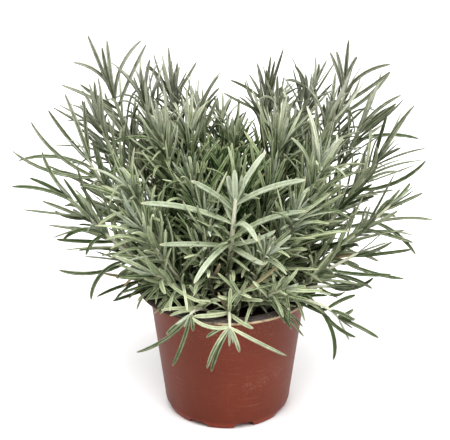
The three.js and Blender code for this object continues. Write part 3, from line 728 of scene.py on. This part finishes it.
def smooth_line(line, shares):
    """Points on a smooth curve through the line's own points, and the directions there."""
    last = len(line) - 1
    places, directions = [], []
    for share in shares:
        x = share * last
        i = min(last - 1, int(x))
        t = x - i
        p0 = line[max(0, i - 1)]
        p1 = line[i]
        p2 = line[i + 1]
        p3 = line[min(last, i + 2)]
        m1 = p2 - p1 if i == 0 else (p2 - p0) * 0.5
        m2 = p2 - p1 if i + 1 == last else (p3 - p1) * 0.5
        t2, t3 = t * t, t * t * t
        place = p1 * (2 * t3 - 3 * t2 + 1) + m1 * (t3 - 2 * t2 + t)
        place = place + p2 * (3 * t2 - 2 * t3) + m2 * (t3 - t2)
        slope = p1 * (6 * t2 - 6 * t) + m1 * (3 * t2 - 4 * t + 1)
        slope = slope + p2 * (6 * t - 6 * t2) + m2 * (3 * t2 - 2 * t)
        places.append(place)
        directions.append(slope.normalized())
    return places, directions


def bent_over(line, sag):
    """The line with its outer part bent down."""
    last = len(line) - 1
    return [point - Vector((0, 0, sag * max(0.0, i / last - 0.35) ** 2)) for i, point in enumerate(line)]


def leaf_line(leaf, shares, draw):
    line = leaf["line"]
    foot = line[0]
    bends = draw(0, 1) < BENT_SHARE
    sag = draw(0.5, 1.2) * leaf["length"]
    if bends and "blunt" not in leaf and foot.z > BENT_FROM_HEIGHT:
        line = bent_over(line, sag)
    places, directions = smooth_line(line, shares)
    broad = smooth(1.3, 1.6, leaf["width"])
    twist = radians(draw(-32, 32)) * mix(1, 0.4, broad)
    blunt = max(leaf.get("blunt", 0), 1 - smooth(95, 160, foot.z))
    outer = mix(1, 1.25, smooth(30, 60, abs(foot.x)))
    if "blunt" not in leaf:
        outer *= 1 - 0.3 * leaf["young"]
    sides, sizes = [], []
    for share, direction in zip(shares, directions):
        side = leaf["side"] - direction * leaf["side"].dot(direction)
        side.normalize()
        turn = twist * share
        up = direction.cross(side)
        sides.append(side * cos(turn) + up * sin(turn))
        sizes.append(half_width_at(share, leaf["width"] * outer, blunt))
    shade = leaf.get("shade", 0)
    tone = mix(1, 0.4, max(broad, shade)) * draw(-1, 1) - shade
    if leaf["old"] > 0.3 and tone > 0.93:
        tone = DRY_TONE
    tone = leaf.get("tone", tone)
    return places, sides, sizes, shares, tone, leaf["young"] - leaf["old"]


def stem_line(stem, radius):
    shares = [i / WOOD_STATIONS for i in range(WOOD_STATIONS + 1)]
    points = [stem.place(share) for share in shares]
    sides = []
    for share in shares:
        axis = stem.direction(min(0.9999, share))
        side, _ = radial_frame(axis)
        if sides and side.dot(sides[-1]) < 0.7:
            side = (sides[-1] - axis * sides[-1].dot(axis)).normalized()
        sides.append(side)
    foot = THICK_STEM_FOOT if radius > STEM_RADIUS else STEM_FOOT
    sizes = [radius * mix(foot, STEM_TIP, share ** 1.5) for share in shares]
    sizes[-1] *= 0.5
    return points, sides, sizes, shares, 0.0, 0.0


def twig_line(points, side):
    sizes = [mix(0.6, 0.35, i / TWIG_STATIONS) for i in range(len(points))]
    return points, [side] * len(points), sizes, [0.55 + 0.1 * i for i in range(len(points))], 0.0, 0.0


# Materials

class Shade:
    """Short calls for the nodes that every material here uses."""

    def __init__(self, tree, material=None):
        self.tree = tree
        self.material = material
        self.place = self.node("ShaderNodeTexCoord", {}).outputs["Object"]

    def node(self, kind, inputs, **settings):
        return add_node(self.tree, kind, inputs, **settings)

    def attribute(self, name):
        return self.node("ShaderNodeAttribute", {}, attribute_name=name).outputs["Fac"]

    def height(self):
        return self.node("ShaderNodeSeparateXYZ", {"Vector": self.place}).outputs["Z"]

    def noise(self, scale, detail=3.0, roughness=0.55):
        """Noise of one scale, or of a scale for each axis."""
        place = self.place
        if isinstance(scale, tuple):
            place = self.node("ShaderNodeMapping", {"Vector": place, "Scale": scale}).outputs["Vector"]
            scale = 1.0
        return self.node("ShaderNodeTexNoise", {
            "Vector": place, "Scale": scale, "Detail": detail, "Roughness": roughness,
        }).outputs["Fac"]

    def near(self, centre, inner, outer):
        """One inside a ball round a point, falling to nothing at its outer radius."""
        apart = self.node("ShaderNodeVectorMath", {0: self.place, 1: centre}, operation="DISTANCE")
        return self.span(apart.outputs["Value"], inner, outer, 1.0, 0.0)

    def math(self, operation, a, b=0.0, clamp=False):
        return self.node("ShaderNodeMath", {0: a, 1: b}, operation=operation, use_clamp=clamp).outputs[0]

    def add(self, a, b, clamp=False):
        return self.math("ADD", a, b, clamp)

    def times(self, a, b):
        return self.math("MULTIPLY", a, b)

    def span(self, value, low, high, to_low=0.0, to_high=1.0):
        """A smooth step from one value at the low end to another at the high end."""
        return self.node("ShaderNodeMapRange", {
            "Value": value, "From Min": low, "From Max": high, "To Min": to_low, "To Max": to_high,
        }, interpolation_type="SMOOTHSTEP").outputs["Result"]

    def blend(self, factor, a, b):
        """From one colour to another; each is (r, g, b) or comes from a node."""
        a, b = [(*value, 1.0) if isinstance(value, tuple) else value for value in (a, b)]
        return self.node("ShaderNodeMix", {0: factor, 6: a, 7: b}, data_type="RGBA").outputs[2]

    def layers(self, base, rows):
        """A colour with others laid over it in turn, each (mask, strength, colour)."""
        for mask, strength, over in rows:
            base = self.blend(self.times(mask, strength), base, over)
        return base

    def bump(self, height, strength, distance):
        return self.node("ShaderNodeBump", {
            "Height": height, "Strength": strength, "Distance": distance,
        }).outputs["Normal"]

    def felt(self, amount):
        """The felt's cover and height where this much of it grows."""
        node = self.node("ShaderNodeGroup", {"Amount": amount}, node_tree=FELT)
        return node.outputs["Cover"], node.outputs["Height"]

    def surface(self, values):
        """Feeds the material's shader, and gives the finished material."""
        shader = self.tree.nodes["Principled BSDF"]
        for label, value in values.items():
            feed(self.tree, shader.inputs[label], value)
        return self.material


def material_shade(name):
    material = bpy.data.materials.new(name)
    material.use_nodes = True
    return Shade(material.node_tree, material)


# Points along the slanting scuff on the pot's front; these and the places below are in metres
SCUFF_POINTS = [
    (AXIS[0] + 0.012, AXIS[1] - 0.0376, 0.03),
    (AXIS[0] + 0.02, AXIS[1] - 0.034, 0.0322),
    (AXIS[0] + 0.028, AXIS[1] - 0.028, 0.0344),
]
# The middle of the stretch of the lip's edge that is pale, partly from wear and partly as a painted
# highlight
LIP_WEAR_AND_HIGHLIGHT_PLACE = (AXIS[0] + 0.018, AXIS[1] - 0.049, 0.079)
# Leaves far from the first point get less felt and greyer colours, painted shade on the outside of
# the bush; those near the second are painted dark, as shade deep inside it
BUSH_MIDDLE = (AXIS[0], AXIS[1] - 0.02, 0.135)
BUSH_HEART = (AXIS[0], AXIS[1] + 0.012, 0.12)
# Low at the front, where the leaves get more felt and the stems are paler than elsewhere: painted
# light against the shade there, on leaves that are also really pale
BUSH_FRONT = (AXIS[0], AXIS[1] - 0.05, 0.108)


def felt_group():
    """White felt over green: how much it covers at a point, and how high it stands there."""
    group, entry, leave = new_group(
        "felt", "ShaderNodeTree", [("Amount", "NodeSocketFloat", 0.5)],
        [("Cover", "NodeSocketFloat", None), ("Height", "NodeSocketFloat", None)],
    )
    s = Shade(group)
    fine = s.noise(2600.0, 2.0, 0.6)
    patch = s.noise(260.0, 3.0, 0.6)
    both = s.add(s.times(fine, 0.55), s.times(patch, 0.45))
    uneven = s.times(s.math("SUBTRACT", both, 0.5), 1.3)
    feed(group, leave.inputs["Cover"], s.add(entry.outputs["Amount"], uneven, clamp=True))
    feed(group, leave.inputs["Height"], fine)
    return group


def leaf_material():
    s = material_shade("felted_leaf")
    across = s.math("ABSOLUTE", s.attribute("across"))
    along, tone, young, under = [s.attribute(name) for name in ("along", "tone", "young", "under")]
    height = s.height()
    # Masks by place: out at the rim of the bush, where the leaves are painted greyer and darker as
    # shade; deep inside it, where they are painted dark as shade; low at its front, where more felt is
    # partly their own paleness and partly painted light; up in its crown; and low down over the pot,
    # where the felt is more beige and, as painted shade, thinner
    outer_painted_shade = s.span(s.near(BUSH_MIDDLE, 0.05, 0.1), 0.0, 1.0, 1.0, 0.0)
    deep_painted_shade = s.near(BUSH_HEART, 0.03, 0.065)
    front_pale_and_painted_light = s.near(BUSH_FRONT, 0.02, 0.045)
    crown = s.span(height, 0.15, 0.21)
    # Low down over the pot the felt is more beige and, as painted shade, thinner
    low = s.span(height, 0.07, 0.095, 1.0, 0.0)
    # The felt is even on young leaves, and on others thick halfway between midrib and edge
    even = s.span(young, 0.0, 0.3)
    band = s.times(s.span(across, 0.12, 0.55), s.span(across, 0.85, 1.0, 1.0, 0.4))
    band = s.times(band, s.span(under, 0.0, 1.0, 1.0, 0.5))
    amount = 0.24
    for mask, strength in (
        (s.math("MINIMUM", tone, 1.0), 0.27),
        (s.span(young, 0.0, 1.0), 0.1),
        (s.span(young, -1.0, 0.0, 1.0, 0.0), -0.12),
        (even, 0.18),
        (band, s.span(even, 0.0, 1.0, 0.32, 0.16)),
        (outer_painted_shade, -0.17),
        (deep_painted_shade, -0.22),
        (front_pale_and_painted_light, 0.2),
        (crown, 0.22),
        (low, -0.1),
    ):
        amount = s.add(amount, s.times(mask, strength))
    cover, fuzz = s.felt(amount)
    green = s.blend(s.span(tone, -1.0, 1.0), (0.026, 0.052, 0.009), (0.082, 0.126, 0.033))
    # Painted shade: the green and the felt are darker deep inside the bush and greyer on its outside
    green = s.layers(green, [
        (outer_painted_shade, 0.65, (0.058, 0.073, 0.036)),
        (deep_painted_shade, 0.75, (0.02, 0.05, 0.006)),
        (crown, 0.65, (0.083, 0.087, 0.058)),
    ])
    felt = s.blend(s.span(young, 0.0, 0.4), (0.55, 0.595, 0.4), (0.5, 0.54, 0.45))
    felt = s.layers(felt, [
        (deep_painted_shade, 0.7, (0.46, 0.53, 0.28)),
        (crown, 0.9, (0.65, 0.66, 0.565)),
        (low, 0.7, (0.52, 0.5, 0.37)),
        (outer_painted_shade, 0.5, (0.56, 0.565, 0.475)),
    ])
    # Leaf edges in the crown and on the outside of the bush are painted dark brown, a painted shade along
    # edges seen against the light
    edge = s.times(s.span(across, 0.82, 1.0), s.math("MAXIMUM", crown, s.times(outer_painted_shade, 0.6)))
    # Leaf tips are brownish; on the outside of the bush they are painted darker still, as shade
    tip_colour_and_painted_shade = s.blend(outer_painted_shade, (0.5, 0.42, 0.3), (0.17, 0.14, 0.1))
    base = s.layers(s.blend(cover, green, felt), [
        (s.span(tone, 1.2, DRY_TONE), 1.0, (0.33, 0.265, 0.16)),
        (edge, 0.55, (0.11, 0.09, 0.07)),
        (s.span(along, 0.93, 1.0), 0.55, tip_colour_and_painted_shade),
    ])
    return s.surface({
        "Base Color": base, "Roughness": 0.78, "Specular IOR Level": 0.18,
        "Sheen Weight": 0.2, "Sheen Roughness": 0.35, "Sheen Tint": (0.95, 1.0, 0.92, 1.0),
        "Normal": s.bump(fuzz, 0.35, 0.00012),
    })


def stem_material():
    s = material_shade("felted_stem")
    woody = s.span(s.attribute("along"), 0.25, 0.62, 1.0, 0.0)
    # Low at the front the bark and the skin are painted paler, a painted light against the shade of the
    # leaves above
    front_pale_and_painted_light = s.near(BUSH_FRONT, 0.035, 0.06)
    streak = s.noise((900.0, 900.0, 160.0), 3.0)
    cover, fuzz = s.felt(s.math("SUBTRACT", 0.68, s.times(woody, 0.36)))
    bark = s.blend(streak, (0.21, 0.155, 0.105), (0.46, 0.37, 0.27))
    bark = s.blend(front_pale_and_painted_light, bark, s.blend(streak, (0.45, 0.35, 0.26), (0.68, 0.58, 0.46)))
    skin = s.blend(streak, (0.14, 0.17, 0.075), (0.2, 0.22, 0.11))
    skin = s.blend(s.times(front_pale_and_painted_light, 0.6), skin, (0.5, 0.46, 0.35))
    return s.surface({
        "Base Color": s.blend(cover, s.blend(woody, skin, bark), (0.6, 0.6, 0.48)),
        "Roughness": 0.85, "Specular IOR Level": 0.2,
        "Normal": s.bump(s.add(fuzz, streak), 0.4, 0.0002),
    })


def pot_material():
    s = material_shade("terracotta_plastic")
    height = s.height()
    cloud = s.noise(26.0, 4.0, 0.6)
    grain = s.noise(900.0, 3.0, 0.6)
    streak = s.noise((60.0, 60.0, 700.0), 4.0, 0.6)
    # The feet's edges are brighter; dust lies in streaks, and more of it towards the lip
    foot = s.span(height, 0.0035, 0.0052, 1.0, 0.0)
    dust = s.times(s.times(s.span(streak, 0.56, 0.8), s.span(cloud, 0.4, 0.7)), 0.3)
    upper = s.span(height, 0.052, 0.078, 0.1, 0.45)
    dust = s.add(dust, s.times(s.span(grain, 0.5, 0.8), upper))
    scuffed = 0.0
    for point in SCUFF_POINTS:
        scuffed = s.math("MAXIMUM", scuffed, s.near(point, 0.0, 0.0065))
    scuff = s.times(s.span(grain, 0.45, 0.68), scuffed)
    dust = s.add(dust, s.times(scuff, 0.3), clamp=True)
    # Near the front the lip's edge is pale: partly wear, partly a painted highlight
    worn_and_highlight = s.span(s.noise(140.0), 0.3, 0.5)
    worn_and_highlight = s.times(worn_and_highlight, s.near(LIP_WEAR_AND_HIGHLIGHT_PLACE, 0.012, 0.042))
    lip_edge = s.blend(worn_and_highlight, (0.06, 0.032, 0.024), (0.4, 0.32, 0.2))
    base = s.blend(s.span(cloud, 0.35, 0.7), (0.12, 0.0226, 0.0095), (0.142, 0.0285, 0.0122))
    base = s.layers(base, [
        (foot, 0.75, (0.22, 0.033, 0.011)),
        (dust, 1.0, (0.4, 0.22, 0.16)),
        (s.span(height, 0.0775, 0.0784), 1.0, lip_edge),
    ])
    return s.surface({
        "Base Color": base, "Roughness": s.span(grain, 0.3, 0.75, 0.42, 0.58),
        "Specular IOR Level": 0.2, "Sheen Weight": 0.04,
        "Normal": s.bump(s.add(grain, streak), 0.12, 0.0002),
    })


def inside_material():
    s = material_shade("black_plastic_inside")
    cloud = s.noise(90.0, 4.0, 0.6)
    speck = s.noise(800.0, 3.0, 0.65)
    dust = s.times(s.span(speck, 0.38, 0.66), s.span(cloud, 0.25, 0.6))
    return s.surface({
        "Base Color": s.blend(dust, (0.03, 0.024, 0.022), (0.19, 0.15, 0.135)),
        "Roughness": s.span(speck, 0.3, 0.8, 0.5, 0.85),
        "Normal": s.bump(speck, 0.25, 0.0003),
    })


def soil_material():
    s = material_shade("peat_compost")
    lump = s.noise(160.0, 5.0, 0.65)
    grain = s.noise(1100.0, 3.0, 0.6)
    base = s.blend(s.span(lump, 0.3, 0.75), (0.008, 0.006, 0.005), (0.05, 0.034, 0.022))
    return s.surface({
        "Base Color": s.blend(s.times(s.span(grain, 0.55, 0.8), 0.5), base, (0.11, 0.075, 0.045)),
        "Roughness": 0.95, "Specular IOR Level": 0.15,
        "Normal": s.bump(s.add(lump, grain), 0.6, 0.0006),
    })


def floor_material():
    s = material_shade("pale_floor")
    cloud = s.noise(3.0, 2.0)
    return s.surface({"Base Color": s.blend(cloud, (0.86, 0.86, 0.86), (0.9, 0.9, 0.9)), "Roughness": 0.9})


FELT = felt_group()
LEAF = leaf_material()
STEM = stem_material()
POT = pot_material()
INSIDE = inside_material()
SOIL = soil_material()
FLOOR = floor_material()


# Foliage

# Outlines across a leaf from edge to edge and back underneath, and how far under each point is
BLADE_PROFILE = [
    (1.0, -0.2), (0.8, 0.18), (0.45, 0.18), (0.0, 0.0), (-0.45, 0.18), (-0.8, 0.18),
    (-1.0, -0.2), (-0.8, -0.68), (-0.4, -0.52), (0.0, -0.72), (0.4, -0.52), (0.8, -0.68),
]
BLADE_UNDERS = (0.3, 0.0, 0.0, 0.0, 0.0, 0.0, 0.3, 1.0, 1.0, 1.0, 1.0, 1.0)
TWIG_PROFILE = [
    (1.0, -0.15), (0.6, 0.2), (0.0, 0.05), (-0.6, 0.2),
    (-1.0, -0.15), (-0.6, -0.6), (0.0, -0.5), (0.6, -0.6),
]
TWIG_UNDERS = (0.3, 0.0, 0.0, 0.0, 0.3, 1.0, 1.0, 1.0)
STEM_SIDES = 10
STEM_PROFILE = [polar(1, tau * i / STEM_SIDES)[:2] for i in range(STEM_SIDES)]
SWEEP = sweep_tree()
blade_profile = profile_object("blade_profile", BLADE_PROFILE, BLADE_UNDERS)
twig_profile = profile_object("twig_profile", TWIG_PROFILE, TWIG_UNDERS)
stem_profile = profile_object("stem_profile", STEM_PROFILE, [0.0] * STEM_SIDES)


def swept(name, lines, profile, material):
    obj = lines_object(name, lines)
    add_modifier(obj, SWEEP, {"Profile": profile, "Material": material})
    return bake(obj)


def join(name, objects):
    """One plain mesh from several, each keeping its own material and attributes."""
    first = objects[0]
    with bpy.context.temp_override(
        active_object=first, object=first, selected_objects=objects, selected_editable_objects=objects,
    ):
        bpy.ops.object.join()
    first.name = name
    first.data.name = name
    return first


def build_shoot(order, shoot):
    stem = Stem(shoot)
    draw = draws(3301 * (order + 1) + 11)
    by_rule = rule_leaves(shoot, order, stem)
    by_hand = set_leaves(shoot, stem, SET_LEAVES, WIDE_LEAVES.get(shoot.name, SET_HALF_WIDTH))
    by_hand += set_leaves(shoot, stem, SHEATH_LEAVES, SHEATH_HALF_WIDTH)
    large = [leaf for leaf in by_hand + by_rule if clear_of_pot(leaf["line"])]
    twigs, added = side_twigs(shoot, by_rule, order)
    added += low_leaves(shoot, stem, order) + upright_leaves(shoot, stem, order)
    added += faded_leaves(shoot, stem)
    small = [leaf for leaf in added if clear_of_pot(leaf["line"])]
    wood = [stem_line(stem, THICK_STEMS.get(shoot.name, STEM_RADIUS))]
    wood += [twig_line(*twig) for twig in twigs]
    parts = [
        swept("large", [leaf_line(leaf, LEAF_SHARES, draw) for leaf in large], blade_profile, LEAF),
        swept("wood", wood, stem_profile, STEM),
    ]
    if small:
        lines = [leaf_line(leaf, TWIG_LEAF_SHARES, draw) for leaf in small]
        parts.append(swept("small", lines, twig_profile, LEAF))
    shoot_piece = join("foliage_" + shoot.name, parts)
    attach(shoot_piece, "root")
    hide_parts("shoot_" + shoot.name)


for order, shoot in enumerate(SHOOTS):
    build_shoot(order, shoot)
for helper in (blade_profile, twig_profile, stem_profile):
    bpy.data.objects.remove(helper)


# Pot

POT_SIDES = 240
# Angles, in degrees, by which a notch's slope reaches into and past its width
NOTCH_SLOPE_IN = 2.4
NOTCH_SLOPE_OUT = 1.5
FOOT_RING_HEIGHTS = (0.25, 0.7, 1.4, 2.2, 3.0, 3.8, 4.4, 5.0, 6.0, 8.0)
# The pot is a little out of round and its lip a little out of level, from this height up
SWAY_FROM_HEIGHT = 50


def notch_angle(i):
    return FIRST_NOTCH_ANGLE + 360 / FOOT_COUNT * i


def notch_rise(angle):
    """How high the underside stands off the floor at this compass angle."""
    half = degrees(NOTCH_WIDTH / 2 / STANDING_RADIUS)
    for i in range(FOOT_COUNT):
        off = abs((angle - notch_angle(i) + 180) % 360 - 180)
        if off < half + NOTCH_SLOPE_OUT:
            return NOTCH_DEPTHS[i % 2] * (1 - smooth(half - NOTCH_SLOPE_IN, half + NOTCH_SLOPE_OUT, off))
    return 0.0


def wall_radius(height):
    """The outer wall's radius at a height."""
    if height < WALL_FOOT_HEIGHT:
        t = height / WALL_FOOT_HEIGHT
        return mix(STANDING_RADIUS, WALL_FOOT_RADIUS, sin(t * pi / 2) ** 0.8)
    if height < WALL_SHOULDER_HEIGHT:
        t = (height - WALL_FOOT_HEIGHT) / (WALL_SHOULDER_HEIGHT - WALL_FOOT_HEIGHT)
        return mix(WALL_FOOT_RADIUS, WALL_SHOULDER_RADIUS, t)
    t = (height - WALL_SHOULDER_HEIGHT) / (POT_HEIGHT - LIP_THICKNESS - WALL_SHOULDER_HEIGHT)
    return mix(WALL_SHOULDER_RADIUS, WALL_TOP_RADIUS, t)


def pot_rings():
    """Rings from the underside round the lip to the floor inside.

    Each is (radius, height, is it on the black inside, does it follow the notches).
    """
    under_lip = POT_HEIGHT - LIP_THICKNESS
    turned_down = POT_HEIGHT - LIP_TURN_DOWN
    behind_edge = LIP_RADIUS - LIP_EDGE_WIDTH
    inner_top = WALL_TOP_RADIUS - WALL_THICKNESS
    inner_foot = WALL_FOOT_RADIUS - WALL_THICKNESS
    underside = [(FOOT_INNER_RADIUS - inset, FLOOR_UNDERSIDE) for inset in (4, 1.2)]
    feet = [(FOOT_INNER_RADIUS - 0.5, 2.2), (FOOT_INNER_RADIUS, 0.5), (FOOT_INNER_RADIUS + 0.6, 0.0)]
    feet += [(STANDING_RADIUS - inset, 0.0) for inset in (1.6, 0.4)]
    feet += [(wall_radius(height), height) for height in FOOT_RING_HEIGHTS]
    wall_heights = [*np.linspace(12, WALL_SHOULDER_HEIGHT, 12)]
    wall_heights += [*np.linspace(WALL_SHOULDER_HEIGHT + 3, under_lip - 1.2, 5)]
    outside = [(wall_radius(height), float(height)) for height in wall_heights]
    outside += [
        (WALL_TOP_RADIUS + 0.15, under_lip - 0.35), (WALL_TOP_RADIUS + 0.6, under_lip),
        (behind_edge - 0.9, under_lip), (behind_edge - 0.2, under_lip - 0.25),
        (behind_edge, turned_down), (LIP_RADIUS - 0.15, turned_down),
        (LIP_RADIUS, turned_down + 0.2), (LIP_RADIUS, POT_HEIGHT - 1.1),
    ]
    inside = [
        (LIP_RADIUS - 0.2, POT_HEIGHT - 0.25), (LIP_RADIUS - 0.7, POT_HEIGHT),
        (LIP_RADIUS - 3.0, POT_HEIGHT - 0.1), (inner_top + 1.0, POT_HEIGHT),
        (inner_top + 0.3, POT_HEIGHT - 0.3),
    ]
    for height in [*np.linspace(POT_HEIGHT - 1.2, WALL_SHOULDER_HEIGHT, 6), 30.0, 8.0]:
        inside.append((wall_radius(min(height, under_lip)) - WALL_THICKNESS, float(height)))
    inside += [
        (inner_foot - 0.3, FLOOR_TOP + 0.6), (inner_foot - 1.4, FLOOR_TOP),
        (FOOT_INNER_RADIUS - 4, FLOOR_TOP),
    ]
    rings = []
    for rows, is_inside, notched in ((underside, 0, 0), (feet, 0, 1), (outside, 0, 0), (inside, 1, 0)):
        rings += [(radius, height, is_inside, notched) for radius, height in rows]
    return rings


def pot_point(radius, height, notched, angle):
    """A point of a ring, lifted over a notch and swayed towards the lip."""
    turn = radians(angle)
    rise = notch_rise(angle) if notched else 0.0
    if height < rise:
        height = rise
        if radius > STANDING_RADIUS - 2:
            inset = max(0, STANDING_RADIUS - radius)
            radius = min(wall_radius(height), max(radius, wall_radius(height) - inset))
    sway = smooth(SWAY_FROM_HEIGHT, POT_HEIGHT, height)
    radius += sway * (0.12 * sin(2 * turn + 0.6) + 0.07 * sin(5 * turn + 2.0))
    height += sway * 0.1 * sin(3 * turn + 1.2)
    return placed(*polar(radius, turn, height))


def drain_cutters():
    """A short cylinder for each drain hole in the floor."""
    mesh = bpy.data.meshes.new("drain_cutters")
    cutter = bmesh.new()
    for i in range(FOOT_COUNT):
        made = bmesh.ops.create_cone(
            cutter, cap_ends=True, segments=24, radius1=DRAIN_RADIUS * MM, radius2=DRAIN_RADIUS * MM,
            depth=DRAIN_DEPTH * MM,
        )
        centre = polar(DRAIN_CIRCLE_RADIUS, radians(notch_angle(i)), FLOOR_TOP)
        bmesh.ops.translate(cutter, verts=made["verts"], vec=placed(*centre))
    cutter.to_mesh(mesh)
    cutter.free()
    return new_object("drain_cutters", mesh)


def build_pot():
    rings = pot_rings()
    positions = [
        pot_point(radius, height, notched, 360 * i / POT_SIDES)
        for radius, height, _, notched in rings for i in range(POT_SIDES)
    ]
    faces = ring_faces(len(rings), POT_SIDES)
    insides = [below[2] and above[2] for below, above in zip(rings, rings[1:]) for _ in range(POT_SIDES)]
    last = (len(rings) - 1) * POT_SIDES
    faces.append(tuple(range(POT_SIDES - 1, -1, -1)))
    faces.append(tuple(last + i for i in range(POT_SIDES)))
    insides += [0, 1]
    pot = mesh_object("nursery_pot", positions, [], faces, (POT, INSIDE))
    for polygon, is_inside in zip(pot.data.polygons, insides):
        polygon.material_index = is_inside
        polygon.use_smooth = len(polygon.vertices) == 4
    cutters = drain_cutters()
    cut = pot.modifiers.new("drains", "BOOLEAN")
    cut.operation = "DIFFERENCE"
    cut.object = cutters
    cut.solver = "EXACT"
    bake(pot)
    bpy.data.objects.remove(cutters)
    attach(pot, "root")
    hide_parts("pot")


build_pot()


# Soil

SOIL_SIDES = 96
SOIL_SHOULDER = 1.4
CRUMB_RADIUS = 0.00055
CRUMB_DENSITY = 620000.0
CRUMB_SEED = 4


def crumb_tree():
    """Scatters crumbs and short fibres over the upward faces of a mesh."""
    tree, entry, leave = new_group("scatter_crumbs", "GeometryNodeTree", [
        GEOMETRY,
        ("Material", "NodeSocketMaterial", None),
    ], [GEOMETRY])
    normal = add_node(tree, "GeometryNodeInputNormal", {})
    split = add_node(tree, "ShaderNodeSeparateXYZ", {"Vector": normal})
    upward = add_node(
        tree, "FunctionNodeCompare", {"A": split.outputs["Z"], "B": 0.3},
        data_type="FLOAT", operation="GREATER_THAN",
    )
    spread = add_node(tree, "GeometryNodeDistributePointsOnFaces", {
        "Mesh": entry.outputs["Geometry"], "Selection": upward,
        "Density": CRUMB_DENSITY, "Seed": CRUMB_SEED,
    })
    crumb = add_node(tree, "GeometryNodeMeshIcoSphere", {"Radius": CRUMB_RADIUS, "Subdivisions": 1})
    turn = add_node(tree, "FunctionNodeRandomValue", {"Max": (6.28, 6.28, 6.28)}, data_type="FLOAT_VECTOR")
    size = add_node(
        tree, "FunctionNodeRandomValue", {"Min": (0.35, 0.35, 0.3), "Max": (1.9, 1.2, 1.0)},
        data_type="FLOAT_VECTOR",
    )
    crumbs = add_node(tree, "GeometryNodeInstanceOnPoints", {
        "Points": spread, "Instance": crumb, "Rotation": turn, "Scale": size,
    })
    together = add_node(tree, "GeometryNodeJoinGeometry", {"Geometry": crumbs})
    feed(tree, together.inputs["Geometry"], entry.outputs["Geometry"])
    end_tree(tree, entry, leave, together)
    return tree


def soil_point(radius, height, uneven, turn):
    """A point of a ring, raised or lowered a little where the soil is uneven."""
    x, y, _ = polar(radius, turn)
    if uneven:
        height += 0.5 * sin(0.31 * x + 1.0) * cos(0.27 * y) + 0.25 * sin(0.9 * x - 0.7 * y)
    return placed(x, y, height)


def build_soil():
    edge = wall_radius(SOIL_TOP) - WALL_THICKNESS - SOIL_GAP
    foot = WALL_FOOT_RADIUS - WALL_THICKNESS - SOIL_GAP
    foot_height = FLOOR_TOP + SOIL_GAP
    rings = [
        (foot - SOIL_SHOULDER, foot_height, False),
        (foot, foot_height + SOIL_SHOULDER, False),
        (WALL_SHOULDER_RADIUS - WALL_THICKNESS - SOIL_GAP, WALL_SHOULDER_HEIGHT, False),
        (edge - 0.1, SOIL_TOP - SOIL_SHOULDER, False),
        (edge - 1.0, SOIL_TOP - 0.4, True),
    ]
    rings += [(edge * (percent / 100), SOIL_TOP, True) for percent in range(93, 2, -7)]
    positions = [soil_point(*ring, tau * i / SOIL_SIDES) for ring in rings for i in range(SOIL_SIDES)]
    faces = ring_faces(len(rings), SOIL_SIDES)
    faces.append(tuple(range(SOIL_SIDES - 1, -1, -1)))
    last = (len(rings) - 1) * SOIL_SIDES
    centre = len(positions)
    positions.append(placed(0, 0, SOIL_TOP))
    faces += [(last + i, last + (i + 1) % SOIL_SIDES, centre) for i in range(SOIL_SIDES)]
    soil = mesh_object("peat_soil", positions, [], faces)
    add_modifier(soil, crumb_tree(), {"Material": SOIL})
    bake(soil)
    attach(soil, "root")
    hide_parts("soil")


build_soil()


# Floor, light and camera, in metres

FLOOR_HALF_SIZE = 6
# name, place, side, watts
LIGHTS = (
    ("key", (0.0, -0.7, 1.8), 2.0, 62.0),
    ("fill", (1.0, -1.0, 1.0), 1.0, 8.0),
    ("back", (-0.3, 1.3, 1.3), 1.2, 14.0),
)
LIGHT_TARGET = (0, 0, 0.14)
WORLD_STRENGTH = 0.32
# In millimetres from the pot's axis and the floor, and degrees below the horizon
CAMERA_PLACE = (-1.5, -931.4, 564.8)
CAMERA_PITCH = 25.6
SENSOR_WIDTH = 36.0
FOCAL_LENGTH = 144.0


def build_floor():
    h = FLOOR_HALF_SIZE
    corners = [(-h, -h, 0), (h, -h, 0), (h, h, 0), (-h, h, 0)]
    floor = mesh_object("floor", corners, [], [(0, 1, 2, 3)], (FLOOR,))


def add_light(name, place, size, power):
    data = bpy.data.lights.new(name, "AREA")
    data.shape = "SQUARE"
    data.size = size
    data.energy = power
    light = new_object(name, data)
    light.location = place
    light.rotation_euler = (Vector(LIGHT_TARGET) - Vector(place)).to_track_quat("-Z", "Y").to_euler()


def add_camera():
    data = bpy.data.cameras.new("camera")
    data.sensor_width = SENSOR_WIDTH
    data.lens = FOCAL_LENGTH
    camera = new_object("camera", data)
    camera.location = placed(*CAMERA_PLACE)
    camera.rotation_euler = (radians(90 - CAMERA_PITCH), 0, 0)
    bpy.context.scene.camera = camera


def set_world():
    world = bpy.data.worlds.new("studio")
    world.use_nodes = True
    background = world.node_tree.nodes["Background"]
    background.inputs["Color"].default_value = (1, 1, 1, 1)
    background.inputs["Strength"].default_value = WORLD_STRENGTH
    bpy.context.scene.world = world


build_floor()
for row in LIGHTS:
    add_light(*row)
add_camera()
set_world()
bpy.context.scene.view_settings.view_transform = "Standard"
bpy.context.scene.view_settings.look = "Medium High Contrast"
